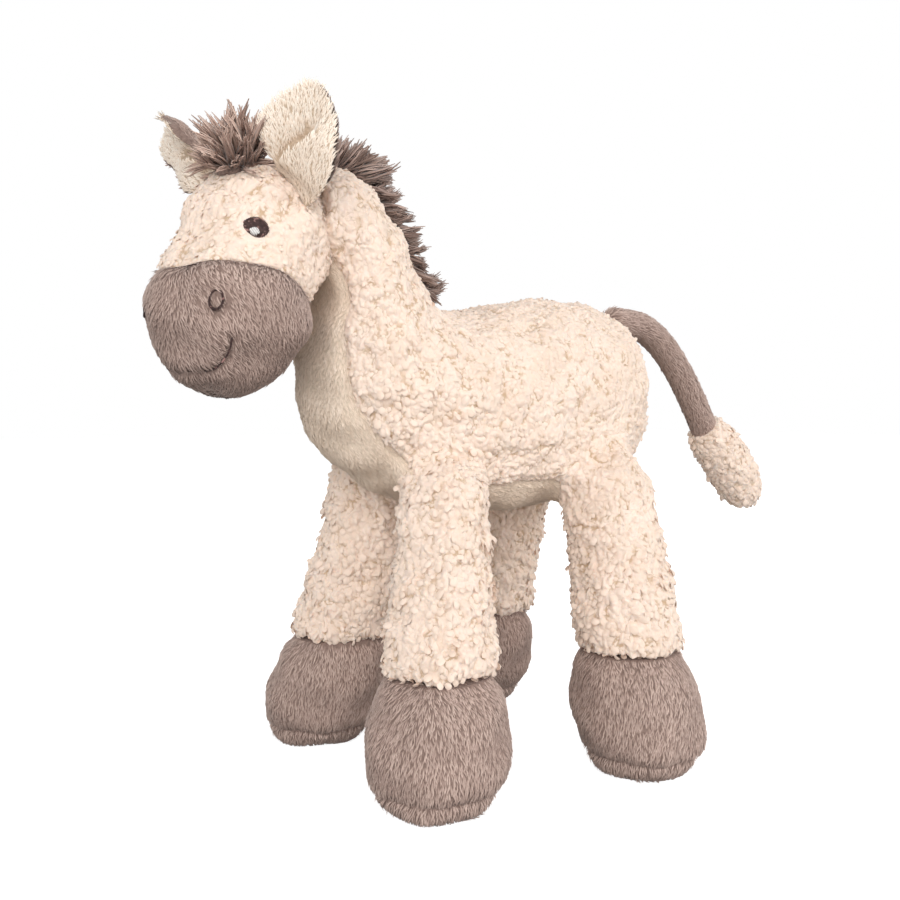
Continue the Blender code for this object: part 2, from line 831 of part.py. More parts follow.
def tail_line():
    """The tail's middle line and radius, from its pivot to its tip."""
    line = [(0, back * TAIL_REACH, -down * TAIL_DROP, TAIL_RADIUS) for back, down in TAIL_LINE_shares]
    _, end_y, end_z, _ = line[-1]
    tuft = []
    for (back, down), share in zip(TUFT_LINE_shares, TUFT_RADIUS_shares):
        tuft.append((0, end_y + back * TUFT_REACH, end_z - down * TUFT_DROP, share * TUFT_RADIUS))
    return line, tuft


def swept_rings(line, places, angles, depth, round_start=0, round_end=0):
    """Rings square to a line of points and radii, with rounded ends where asked."""
    rings = []
    for u in places:
        low, high = max(u - TINY, 0), min(u + TINY, 1)
        ahead = Vector((through(line, high) - through(line, low))[:3]).normalized()
        side = Vector((1, 0, 0))
        up = side.cross(ahead)
        *centre, radius = through(line, u)
        rings.append((Vector(centre), ahead, side, up, radius - depth))
    full = []
    if round_start:
        full += dome_rings(rings[0], round_start, -1)
    full += rings
    if round_end:
        full += dome_rings(rings[-1], round_end, 1)[::-1]
    return [
        [centre + (side * cos(a) + up * sin(a)) * radius for a in angles]
        for centre, _, side, up, radius in full
    ]


def dome_rings(ring, steps, way):
    """Rings that close a swept end with a half ball."""
    centre, ahead, side, up, radius = ring
    rings = []
    for step in range(steps):
        angle = pi / 2 * step / steps
        reach = ahead * (way * radius * cos(angle))
        rings.append((centre + reach, ahead, side, up, radius * sin(angle)))
    return rings


def tail_pieces(frame):
    """The tail: a smooth tube and a curly tuft, each with fibre inside."""
    tube, tuft = tail_line()
    angles = around_angles(TAIL_COLUMNS)
    inner = COVER_WALL + FILLING_GAP
    tube_places, tuft_places = spread(0, 1, 8), spread(TUFT_START_share, 1, 6)
    grids = [
        swept_rings(tube, tube_places, angles, depth, TAIL_BALL_steps, TAIL_BALL_steps)[1:]
        for depth in (0.0, COVER_WALL)
    ]
    add_piece("tail_tube", tube_shell(*grids), TAUPE, frame)
    grid = swept_rings(tube, tube_places, angles, inner, TAIL_BALL_steps, TAIL_BALL_steps)
    add_piece("tail_tube_filling", closed_form(grid), FIBRE, frame)

    joint = joint_frame("tail_tuft_joint", tuft[0][:3])
    joint.parent = frame
    tuft = [(0, y - tuft[0][1], z - tuft[0][2], radius) for _, y, z, radius in tuft]
    grids = [
        swept_rings(tuft, tuft_places, angles, depth, round_end=TAIL_BALL_steps)
        for depth in (0.0, COVER_WALL)
    ]
    cover = add_piece("tail_tuft", tube_shell(*grids), CURLY, joint)
    grid = swept_rings(tuft, tuft_places, angles, inner, round_end=TAIL_BALL_steps)
    filling = add_piece("tail_tuft_filling", closed_form(grid), FIBRE, joint)
    cup = ball_cutter("cut_tuft_cup", Vector(), TAIL_RADIUS + SOCKET_CLEARANCE, joint)
    cut(cover, cup)
    cut(filling, cup)


for old in list(bpy.data.objects):
    bpy.data.objects.remove(old)

CURLY = paint("cream_curly_fleece", (0.80, 0.66, 0.52), 0.95)
IVORY = paint("ivory_short_pile", (0.76, 0.68, 0.53), 0.9)
TAUPE = paint("taupe_short_pile", (0.25, 0.19, 0.17), 0.9)
LONG_PILE = paint("taupe_long_pile", (0.22, 0.17, 0.15), 0.9)
FIBRE = paint("white_fibre", (0.85, 0.85, 0.83), 0.95)
BROWN_THREAD = paint("dark_brown_thread", (0.035, 0.02, 0.018), 0.5)
WHITE_THREAD = paint("white_thread", (0.85, 0.85, 0.85), 0.5)

# Trunk
skull = Vector((0, RUMP_PLACE - HEAD_REACH, BELLY_HEIGHT + HEAD_RISE))
trunk_pieces = [
    add_piece("body_filling", body_filling(), FIBRE),
    add_piece("body_panel_left", body_panel(1), CURLY),
    add_piece("body_panel_right", body_panel(-1), CURLY),
    add_piece("belly_gusset", belly_gusset(), IVORY),
]
mane = add_piece("neck_mane", neck_mane(), LONG_PILE)
rim_cutter = ball_cutter("cut_neck_rim", skull, SKULL_RADIUS + SOCKET_CLEARANCE)
for piece in [*trunk_pieces[1:], mane]:
    cut(piece, rim_cutter)
cup_radius = SKULL_RADIUS + WADDING_WALL + 2 * SOCKET_CLEARANCE
cut(trunk_pieces[0], ball_cutter("cut_head_cup", skull, cup_radius))

# Head
head = joint_frame("head_joint", skull, HEAD_TURN)
nod = joint_frame("neck_joint", skull)
add_piece("neck_wadding", neck_wadding(), FIBRE, nod)
add_piece("head_filling", head_filling(), FIBRE, head)
add_piece("head_cover_left", head_cover(1), CURLY, head)
add_piece("head_cover_right", head_cover(-1), CURLY, head)
add_piece("muzzle_cover", muzzle_cover(), TAUPE, head)
tuft = add_piece("forelock", forelock(), LONG_PILE, head)
cut(tuft, ball_cutter("cut_brow", Vector(), SKULL_RADIUS + SEAM_GAP, head))
for make, name, thread in (
    (eye, "eye", BROWN_THREAD),
    (eye_glint, "eye_glint", WHITE_THREAD),
    (nostril, "nostril", BROWN_THREAD),
):
    add_piece(f"{name}_left", make(), thread, head)
    add_piece(f"{name}_right", mirrored(make()), thread, head)
add_piece("mouth_stitching", mouth(), BROWN_THREAD, head)

# Ears
for name, side in (("left", 1), ("right", -1)):
    seat = on_head(side * EAR_SEAT_SIDE, EAR_SEAT_FORWARD) * (SKULL_RADIUS + EAR_PIVOT_LIFT + SEAM_GAP)
    ear = joint_frame(f"ear_{name}_joint", seat)
    ear.parent = head
    add_piece(f"ear_{name}_lining", ear_layer(side, True), IVORY, ear)
    add_piece(f"ear_{name}_back", ear_layer(side, False), TAUPE, ear)

# Legs
front = (FRONT_LEG_TOP_RADIUS, FRONT_HIP_SIDE, FRONT_HIP_REACH)
hind = (HIND_LEG_TOP_RADIUS, HIND_HIP_SIDE, HIND_HIP_REACH)
front_foot = (FRONT_FOOT_SIDE, FRONT_FOOT_STEP, FRONT_LEAN_POWER)
hind_foot = (HIND_FOOT_SIDE, HIND_FOOT_STEP, HIND_LEAN_POWER)
for name, hip_place, foot_place in (("front", front, front_foot), ("hind", hind, hind_foot)):
    top_radius, hip_side, reach = hip_place
    foot_side, step, lean_power = foot_place
    for hand, side in (("left", 1), ("right", -1)):
        hip = Vector((side * hip_side, RUMP_PLACE - reach, HIP_HEIGHT))
        foot = Vector((side * foot_side, hip.y - step, 0))
        form = leg_form_at(hip, foot, top_radius, lean_power)
        frame = joint_frame(f"{name}_hip_{hand}_joint", hip)
        leg_pieces(f"leg_{name}_{hand}", form, frame)
        socket = hip_cutter(f"cut_hip_{name}_{hand}", hip, top_radius)
        for piece in trunk_pieces:
            cut(piece, socket)

# Tail
croup = trunk_form(TAIL_SEAT_share, UPPER)
tail_place = croup + outward(trunk_form, TAIL_SEAT_share, UPPER) * TAIL_PIVOT_LIFT
tail = joint_frame("tail_joint", tail_place)
tail_pieces(tail)
tail_cutter = ball_cutter("cut_tail_socket", tail_place, TAIL_RADIUS + SOCKET_CLEARANCE)
for piece in trunk_pieces[:3]:
    cut(piece, tail_cutter)
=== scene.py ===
"""A stuffed toy horse in curly fleece, short pile and long pile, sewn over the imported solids."""

import json
from functools import partial
from math import cos, pi, radians, sin

import bpy
import numpy as np
from mathutils import Matrix, Vector
from mathutils.kdtree import KDTree

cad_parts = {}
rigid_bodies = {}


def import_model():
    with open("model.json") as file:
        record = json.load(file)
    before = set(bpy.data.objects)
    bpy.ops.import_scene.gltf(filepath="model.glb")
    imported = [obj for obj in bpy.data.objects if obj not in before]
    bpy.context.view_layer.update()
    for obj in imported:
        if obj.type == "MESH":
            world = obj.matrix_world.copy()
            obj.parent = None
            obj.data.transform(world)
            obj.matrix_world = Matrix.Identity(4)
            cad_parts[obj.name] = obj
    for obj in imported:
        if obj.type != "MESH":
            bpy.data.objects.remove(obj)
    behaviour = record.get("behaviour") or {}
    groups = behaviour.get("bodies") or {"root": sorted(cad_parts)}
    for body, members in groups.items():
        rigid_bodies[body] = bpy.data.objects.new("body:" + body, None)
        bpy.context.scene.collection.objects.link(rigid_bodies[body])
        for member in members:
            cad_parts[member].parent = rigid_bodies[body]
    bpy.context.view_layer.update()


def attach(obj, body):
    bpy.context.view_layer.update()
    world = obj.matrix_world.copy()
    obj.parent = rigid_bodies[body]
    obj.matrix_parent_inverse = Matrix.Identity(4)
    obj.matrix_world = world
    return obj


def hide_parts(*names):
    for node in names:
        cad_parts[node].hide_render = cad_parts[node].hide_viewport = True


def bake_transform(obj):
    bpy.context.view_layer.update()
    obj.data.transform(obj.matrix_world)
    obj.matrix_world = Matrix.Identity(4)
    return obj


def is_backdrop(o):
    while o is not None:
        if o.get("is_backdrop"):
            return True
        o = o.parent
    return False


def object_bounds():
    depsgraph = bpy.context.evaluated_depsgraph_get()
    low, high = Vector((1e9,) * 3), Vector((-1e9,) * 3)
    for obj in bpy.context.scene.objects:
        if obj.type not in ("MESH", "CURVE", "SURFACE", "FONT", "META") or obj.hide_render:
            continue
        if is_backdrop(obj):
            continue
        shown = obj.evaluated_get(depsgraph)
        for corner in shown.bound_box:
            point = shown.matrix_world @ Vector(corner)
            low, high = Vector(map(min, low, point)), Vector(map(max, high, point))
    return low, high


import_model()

# The stuffed body. One skin of cloth covers the trunk, the neck and the tops of the four legs, which
# are sewn to it. Its sides are curly fleece, and the panel from the throat under the belly is smooth.
TRUNK_LENGTH, TRUNK_DEPTH, TRUNK_WIDTH = 0.208, 0.115, 0.096
BELLY_HEIGHT, RUMP_PLACE = 0.123, 0.0789
FLEECE_ROOM = 0.0019
# The back line and the belly line, each along and up, half the width, and half the belly panel's
# angle, from the rump to the head
TRUNK_ROWS = np.array([
    (0.000, 0.690, 0.000, 0.420, 0.00, 0.10),
    (0.010, 0.790, 0.008, 0.300, 0.34, 0.20),
    (0.034, 0.880, 0.024, 0.215, 0.58, 0.42),
    (0.085, 0.950, 0.065, 0.140, 0.80, 0.62),
    (0.165, 0.985, 0.145, 0.085, 0.93, 0.72),
    (0.260, 1.000, 0.245, 0.045, 0.99, 0.76),
    (0.360, 0.990, 0.350, 0.010, 1.00, 0.78),
    (0.465, 0.960, 0.460, 0.000, 1.00, 0.78),
    (0.555, 0.925, 0.575, 0.012, 0.99, 0.76),
    (0.612, 0.910, 0.700, 0.070, 0.96, 0.76),
    (0.648, 0.938, 0.828, 0.155, 0.91, 0.78),
    (0.676, 0.988, 0.921, 0.292, 0.86, 0.80),
    (0.702, 1.060, 0.966, 0.455, 0.81, 0.80),
    (0.728, 1.165, 0.974, 0.612, 0.77, 0.78),
    (0.764, 1.280, 0.962, 0.745, 0.74, 0.74),
    (0.822, 1.392, 0.938, 0.862, 0.72, 0.70),
    (0.896, 1.462, 0.946, 0.975, 0.70, 0.66),
    (0.968, 1.412, 0.990, 1.065, 0.66, 0.62),
])


def through(rows, u):
    """The smooth curve through rows of values, at places u from 0 at the first row to 1 at the last."""
    last = len(rows) - 1
    place = np.clip(u, 0, 1) * last
    start = np.minimum(place.astype(int), last - 1)
    t = (place - start)[..., None]
    before, first = rows[np.maximum(start - 1, 0)], rows[start]
    second, after = rows[start + 1], rows[np.minimum(start + 2, last)]
    slope_in, slope_out = (second - before) / 2, (after - first) / 2
    return (
        (2 * t**3 - 3 * t**2 + 1) * first
        + (t**3 - 2 * t**2 + t) * slope_in
        + (3 * t**2 - 2 * t**3) * second
        + (t**3 - t**2) * slope_out
    )


def trunk_surface(u, a):
    """Points of the trunk and neck, u from the rump to the head, a around from the left side."""
    back_y, back_z, belly_y, belly_z, half_width, _ = np.moveaxis(through(TRUNK_ROWS, u), -1, 0)
    middle_y = RUMP_PLACE - (back_y + belly_y) / 2 * TRUNK_LENGTH
    middle_z = BELLY_HEIGHT + (back_z + belly_z) / 2 * TRUNK_DEPTH
    up_y, up_z = (belly_y - back_y) / 2 * TRUNK_LENGTH, (back_z - belly_z) / 2 * TRUNK_DEPTH
    x = np.maximum(half_width, 0) * TRUNK_WIDTH / 2 * np.cos(a)
    return np.stack([x, middle_y + up_y * np.sin(a), middle_z + up_z * np.sin(a)], -1)


HIP_HEIGHT, HOOF_RADIUS, HOOF_HEIGHT = 0.135, 0.033, 0.057
SOLE_SEAM_HEIGHT, SOLE_FLAT_RADIUS = 0.0085, 0.0205
CUFF_RADIUS = 0.83 * HOOF_RADIUS
LEGS = {
    f"{end}_{hand}": {"hip": (side * hip_x, hip_y), "foot": (side * foot_x, foot_y), "top": top, "lean": lean}
    for end, hip_x, hip_y, foot_x, foot_y, top, lean in (
        ("front", 0.0375, -0.0686, 0.0600, -0.0886, 0.0215, 1.2),
        ("hind", 0.0410, 0.0309, 0.0755, 0.0249, 0.0240, 0.9),
    )
    for hand, side in (("left", 1), ("right", -1))
}
# Heights and radii down a leg, as shares of the hip's height and the hoof's size
LEG_GROWTH = ((0.78, 0.25), (0.60, 0.62), (0.47, 0.95))
HOOF_ROWS = ((1.00, 0.800), (0.80, 0.925), (0.55, 1.000), (0.32, 0.985))
CUFF, SOLE_SEAM = 8 / 15, 12 / 15


def leg_rows(top):
    """Height and radius of a leg, from the top of its ball to the middle of its sole."""
    arc = [(HIP_HEIGHT + top * cos(turn), top * sin(turn)) for turn in np.linspace(0, pi / 2, 5)]
    shank = [(share * HIP_HEIGHT, top + growth * (CUFF_RADIUS - top)) for share, growth in LEG_GROWTH]
    hoof = [(height * HOOF_HEIGHT, radius * HOOF_RADIUS) for height, radius in HOOF_ROWS]
    seam = (SOLE_SEAM_HEIGHT, (SOLE_FLAT_RADIUS + 2 * HOOF_RADIUS) / 3)
    return np.array([*arc, *shank, *hoof, seam, (0, SOLE_FLAT_RADIUS), (0, SOLE_FLAT_RADIUS / 2), (0, 0)])


def leg_middle(leg, height):
    """The middle of a leg's round section at each height, across and along the horse."""
    drop = np.clip(HIP_HEIGHT - height, 0, None) / HIP_HEIGHT
    hip, foot = np.array(leg["hip"]), np.array(leg["foot"])
    return hip + (foot - hip) * drop[..., None] ** leg["lean"]


def leg_surface(leg, u, a):
    """Points of a leg, u from the top of its ball to the middle of its sole, a around from its left."""
    height, radius = np.maximum(np.moveaxis(through(leg_rows(leg["top"]), u), -1, 0), 0)
    x, y = np.moveaxis(leg_middle(leg, height), -1, 0)
    return np.stack([x + radius * np.cos(a), y + radius * np.sin(a), height], -1)


def every_pair(rows, columns):
    """Each row's value with each column's, one row after another."""
    ones, others = np.meshgrid(rows, columns, indexing="ij")
    return ones.ravel(), others.ravel()


def full_turn(count):
    """Even angles, once round."""
    return np.linspace(0, 2 * pi, count, endpoint=False)


def grid_of(surface, places, around):
    """A grid of a surface's points, one row for each place, with its u and a."""
    u, a = every_pair(places, full_turn(around))
    return surface(u, a), u, a


def grid_faces(rows, columns, first=0, tube=True):
    """Faces that join a grid's rows. A tube's also join all the way round, and close its ends."""
    i, j = every_pair(np.arange(rows - 1), np.arange(columns if tube else columns - 1))
    here, ahead = first + i * columns, (j + 1) % columns
    faces = np.stack([here + j, here + ahead, here + columns + ahead, here + columns + j], -1).tolist()
    if tube:
        faces.append(list(range(first + columns - 1, first - 1, -1)))
        faces.append(list(range(first + (rows - 1) * columns, first + rows * columns)))
    return faces


def shown(name, data):
    """A new object in the scene."""
    made = bpy.data.objects.new(name, data)
    bpy.context.scene.collection.objects.link(made)
    return made


def keep(mesh, **values):
    """Keeps numbers or directions for the points of a mesh."""
    for key, value in values.items():
        value = np.asarray(value, np.float32)
        if value.ndim == 0:
            value = np.full(len(mesh.vertices), value)
        kind, field = ("FLOAT_VECTOR", "vector") if value.ndim > 1 else ("FLOAT", "value")
        layer = mesh.attributes.get(key) or mesh.attributes.new(key, kind, "POINT")
        layer.data.foreach_set(field, value.ravel())


def sew(name, points, faces, finish=None, edges=(), **values):
    """A smooth cloth in its finish, with values kept for its points."""
    mesh = bpy.data.meshes.new(name)
    mesh.from_pydata(np.asarray(points).reshape(-1, 3).tolist(), edges, faces)
    keep(mesh, **values)
    mesh.shade_smooth()
    if finish:
        mesh.materials.append(finish)
    return shown(name, mesh)


def held(rows, field, wide, kind=np.float32):
    """The numbers that Blender holds in one field of many rows."""
    found = np.zeros(len(rows) * wide, kind)
    rows.foreach_get(field, found)
    return found.reshape(-1, wide)


def points_of(mesh):
    """A mesh's points."""
    return held(mesh.vertices, "co", 3).astype(float)


def normals_of(mesh):
    """The direction out of a mesh at each of its points."""
    return held(mesh.vertex_normals, "vector", 3).astype(float)


def kept_on(mesh, key):
    """The number or direction kept for each point of a mesh."""
    layer = mesh.attributes[key]
    if layer.data_type == "FLOAT_VECTOR":
        return held(layer.data, "vector", 3).astype(float)
    return held(layer.data, "value", 1)[:, 0].astype(float)


def move_to(mesh, points):
    """Moves a mesh's points."""
    mesh.vertices.foreach_set("co", np.asarray(points, np.float32).ravel())
    mesh.update()


def plain_mesh(piece):
    """The mesh that a piece's modifiers make."""
    depsgraph = bpy.context.evaluated_depsgraph_get()
    return bpy.data.meshes.new_from_object(piece.evaluated_get(depsgraph), depsgraph=depsgraph)


def used_up(piece):
    """The mesh that a piece's modifiers make, where the piece was only a step on the way."""
    mesh = plain_mesh(piece)
    bpy.data.objects.remove(piece)
    return mesh


def soft_step(value, low, high):
    """0 below low, 1 above high, and smooth between them."""
    t = np.clip((value - low) / (high - low), 0, 1)
    return t * t * (3 - 2 * t)


def bump_at(value, width):
    """1 where a value is 0, and smoothly less as it leaves it."""
    return np.exp(-((value / width) ** 2))


def nearness(points, spots):
    """How far each point is from the nearest of some spots."""
    return np.min([np.linalg.norm(points - spot, axis=-1) for spot in spots], axis=0)


def stuffing_swell(points):
    """The small unevenness that fibre pushed in by hand gives a cover."""
    x, y, z = points.T * 100
    waves = np.sin(1.9 * x + 1.3 * y + 0.4) + np.sin(2.3 * y - 1.7 * z + 1.1) + np.sin(2.9 * z + x)
    return 0.0005 * waves


# Join the plain trunk and legs, and take one smooth skin of them
SKIN_GRAIN = 0.0016
TRUNK_GRID, LEG_GRID = (130, 96), (60, 48)
points, _, _ = grid_of(trunk_surface, np.linspace(0, 1, TRUNK_GRID[0]), TRUNK_GRID[1])
faces = grid_faces(*TRUNK_GRID)
for leg in LEGS.values():
    shank, _, _ = grid_of(partial(leg_surface, leg), np.linspace(0.004, CUFF, LEG_GRID[0]), LEG_GRID[1])
    faces += grid_faces(*LEG_GRID, len(points))
    points = np.concatenate([points, shank])
body = sew("body_form", points, faces)
remesh = body.modifiers.new("skin", "REMESH")
remesh.mode, remesh.voxel_size = "VOXEL", SKIN_GRAIN
coarse_skin = used_up(body)

# Where each point of the skin lies on the trunk and on the legs
samples, sample_u, sample_a = grid_of(trunk_surface, np.linspace(0, 1, 300), 240)
sample_way = trunk_surface(sample_u - 0.01, sample_a) - samples
trunk_tree = KDTree(len(samples))
for number, point in enumerate(samples):
    trunk_tree.insert(point, number)
trunk_tree.balance()


def off_leg(leg, points):
    """How far each point lies from a leg's round form."""
    rows = through(leg_rows(leg["top"]), np.linspace(0, 1, 400))
    radius = np.interp(points[:, 2], rows[::-1, 0], rows[::-1, 1])
    off = np.linalg.norm(points[:, :2] - leg_middle(leg, points[:, 2]), axis=1) - radius
    off_ball = np.linalg.norm(points - (*leg["hip"], HIP_HEIGHT), axis=1) - leg["top"]
    return np.abs(np.where(points[:, 2] > HIP_HEIGHT, off_ball, off))


def forms_near(points):
    """The nearest trunk place of each point, how far off it is, and how far off each leg is."""
    found = [trunk_tree.find(point)[1:] for point in points]
    places, far = zip(*found)
    return np.array(places), np.array(far), np.stack([off_leg(leg, points) for leg in LEGS.values()], -1)


def relaxed(mesh, points, weight, rounds):
    """The points, each drawn toward the middle of its neighbours as much as its weight says."""
    one, other = held(mesh.edges, "vertices", 2, np.int32).T
    ends = np.concatenate([one, other])
    count = np.bincount(ends, minlength=len(points))[:, None]
    for _ in range(rounds):
        far = np.concatenate([points[other], points[one]])
        mean = np.stack([np.bincount(ends, far[:, k], len(points)) for k in range(3)], -1) / count
        points = points + (mean - points) * 0.5 * weight[:, None]
    return points


GROIN_REACH, GROIN_ROUNDS = 0.010, 140
place = points_of(coarse_skin)
_, from_trunk, from_legs = forms_near(place)
reach = GROIN_REACH * (1 + 1.2 * soft_step(place[:, 1], 0.035, 0.055))
place = relaxed(coarse_skin, place, bump_at(from_trunk + from_legs.min(-1), reach), GROIN_ROUNDS)
place = relaxed(coarse_skin, place, np.full(len(place), 0.6), 3)
move_to(coarse_skin, place)
nearest, from_trunk, from_legs = forms_near(place)
leg_number = np.where(from_legs.min(-1) < from_trunk, from_legs.argmin(-1), -1)
leg_number[place[:, 2] > HIP_HEIGHT + 0.012] = -1
skin_u, skin_a = sample_u[nearest], sample_a[nearest]
panel_half = through(TRUNK_ROWS, skin_u)[:, 5]
from_middle = np.abs((skin_a + pi / 2 + pi) % (2 * pi) - pi)
girth = np.linalg.norm(trunk_surface(skin_u, skin_a + 0.01) - trunk_surface(skin_u, skin_a), axis=1) / 0.01
past_seam = (from_middle - panel_half) * girth
past_seam[leg_number >= 0] = 1.0
pile_way = sample_way[nearest]
pile_way[leg_number >= 0] = (0, 0, -0.004)
pile_way += 0.0006 * np.sin(place[:, [1, 2, 0]] * (160, 190, 170))
in_belly = np.repeat((past_seam < 0).astype(float)[:, None], 3, axis=1)
belly = relaxed(coarse_skin, in_belly, np.ones(len(place)), 3)[:, 0]
keep(coarse_skin, past_seam=past_seam, way=pile_way, belly=belly)
keep(coarse_skin, **{f"on_{name}": leg_number == number for number, name in enumerate(LEGS)})

# Sink the cloth to leave room for its fleece, pull the panel's seams in, and swell the stuffing
PANEL_GROOVE, GROOVE_WIDTH, PANEL_SWELL = 0.0016, 0.0035, 0.0006
finer = shown("finer", coarse_skin)
finer.modifiers.new("finer", "SUBSURF").levels = 1
skin = used_up(finer)
place, skin_out = points_of(skin), normals_of(skin)
past_seam, pile_way, belly = (kept_on(skin, key) for key in ("past_seam", "way", "belly"))
shoulder = soft_step(-place[:, 1], 0.0, 0.07) * soft_step(0.20 - place[:, 2], -0.02, 0.03)
curl_size = 0.82 + 0.48 * np.maximum(shoulder, soft_step(0.15 - place[:, 2], 0.0, 0.04))
curl_size *= 1 - soft_step(belly, 0.08, 0.5)
sunk = FLEECE_ROOM + PANEL_GROOVE * bump_at(past_seam, GROOVE_WIDTH)
sunk -= PANEL_SWELL * soft_step(-past_seam, 0.0, 0.004)
place += skin_out * (stuffing_swell(place) - sunk)[:, None]
corners = held(skin.loops, "vertex_index", 1, np.int32).reshape(-1, 4)


def cut_from_skin(name, kept):
    """A cloth of the skin's faces that are kept."""
    used, numbered = np.unique(corners[kept], return_inverse=True)
    values = {"way": pile_way[used], "out": skin_out[used], "size": curl_size[used]}
    return sew(name, place[used], numbered.reshape(-1, 4).tolist(), **values)


in_panel = past_seam[corners].mean(1) < 0
on_legs = np.stack([kept_on(skin, f"on_{name}")[corners].mean(1) for name in LEGS], -1) > 0.5
body_cloth = cut_from_skin("body_cloth", ~on_legs.any(1) & ~in_panel)
belly_cloth = cut_from_skin("belly_cloth", ~on_legs.any(1) & in_panel)
leg_cloths = {name: cut_from_skin(f"leg_{name}_cloth", on_leg) for name, on_leg in zip(LEGS, on_legs.T)}


# Small tufts, and the nodes that set them on a cloth along the way its pile lies
def tufts(name, made):
    """A collection of small tufts, each with its points, its faces and its points' rise from root to tip."""
    group = bpy.data.collections.new(name)
    for number, (points, faces, rise) in enumerate(made):
        tuft = sew(f"{name}_{number}", points, faces, rise=rise)
        bpy.context.scene.collection.objects.unlink(tuft)
        group.objects.link(tuft)
    return group


def curl(draw):
    """The loose tip of a curl: a leaf that rises from the cloth, bends and narrows to its end."""
    length, width = draw.uniform(0.0021, 0.0030), draw.uniform(0.0018, 0.0025)
    bend, lift = draw.uniform(-0.9, 0.9), draw.uniform(0.0003, 0.0006)
    points, rise = [], []
    for t, wide in ((0.0, 0.7), (0.42, 1.0), (0.82, 0.84)):
        turn = bend * t
        up = lift * sin(pi * 0.62 * t) - 0.0003
        middle = np.array([length * t * cos(turn), length * t * sin(turn), up])
        across = np.array([-sin(2 * turn), cos(2 * turn), 0]) * width / 2 * wide
        points += [middle - across, middle + (0, 0, width * 0.34 * wide), middle + across]
        rise += [t * 0.7, t, t * 0.7]
    points.append((length * cos(bend), length * sin(bend), lift * 0.4))
    rise.append(1.0)
    faces = [[k, k + 3, k + 4, k + 1] for k in (0, 1, 3, 4)]
    return points, faces + [[6, 9, 7], [7, 9, 8]], rise


class Tone:
    """A value that varies over a cloth, for arithmetic in its nodes."""

    def __init__(self, net, socket):
        self.net, self.socket = net, socket

    def __add__(self, other):
        return self.net.maths("ADD", self, other)

    def __sub__(self, other):
        return self.net.maths("SUBTRACT", self, other)

    def __rsub__(self, other):
        return self.net.maths("SUBTRACT", other, self)

    def __mul__(self, other):
        return self.net.maths("MULTIPLY", self, other)

    __radd__, __rmul__ = __add__, __mul__


class Network:
    """The nodes of one tree, of geometry or of a material."""

    def __init__(self, tree):
        self.tree = tree

    def node(self, kind, settings=None, sockets=None, out=0):
        made = self.tree.nodes.new(kind)
        for key, value in (settings or {}).items():
            setattr(made, key, value)
        for key, value in (sockets or {}).items():
            self.put(made.inputs[key], value)
        return Tone(self, made.outputs[out])

    def put(self, socket, value):
        if isinstance(value, Tone):
            self.tree.links.new(value.socket, socket)
        elif isinstance(value, tuple) and socket.type == "RGBA":
            socket.default_value = (*value, 1)
        else:
            socket.default_value = value

    def maths(self, operation, one, other):
        return self.node("ShaderNodeMath", {"operation": operation}, {0: one, 1: other})

    def vectors(self, operation, *given):
        sockets = {"Scale" if operation == "SCALE" and i else i: value for i, value in enumerate(given)}
        out = "Value" if operation == "DOT_PRODUCT" else "Vector"
        return self.node("ShaderNodeVectorMath", {"operation": operation}, sockets, out)

    def between(self, share, one, other):
        return self.node("ShaderNodeMix", {"data_type": "RGBA"}, {0: share, 6: one, 7: other}, out=2)

    def within(self, value, low, high, smooth=False):
        settings = {"clamp": True, "interpolation_type": "SMOOTHSTEP" if smooth else "LINEAR"}
        return self.node("ShaderNodeMapRange", settings, {"Value": value, "From Min": low, "From Max": high})


class Tree(Network):
    """The nodes of a modifier, which end in real faces with a finish on them."""

    def __init__(self, name, **inputs):
        super().__init__(bpy.data.node_groups.new(name, "GeometryNodeTree"))
        self.tree.is_modifier = True
        for label, kind in {**inputs, "Finish": "Material"}.items():
            self.tree.interface.new_socket(label, in_out="INPUT", socket_type=f"NodeSocket{kind}")
        self.tree.interface.new_socket("Made", in_out="OUTPUT", socket_type="NodeSocketGeometry")
        sockets = self.tree.nodes.new("NodeGroupInput").outputs
        self.given = {socket.name: Tone(self, socket) for socket in sockets}

    def kept(self, key, kind="FLOAT"):
        return self.node("GeometryNodeInputNamedAttribute", {"data_type": kind}, {"Name": key}, "Attribute")

    def ends_in(self, made):
        real = self.node("GeometryNodeRealizeInstances", None, {"Geometry": made})
        sockets = {"Geometry": real, "Material": self.given["Finish"]}
        done = self.node("GeometryNodeSetMaterial", None, sockets)
        self.put(self.tree.nodes.new("NodeGroupOutput").inputs[0], done)
        return self.tree


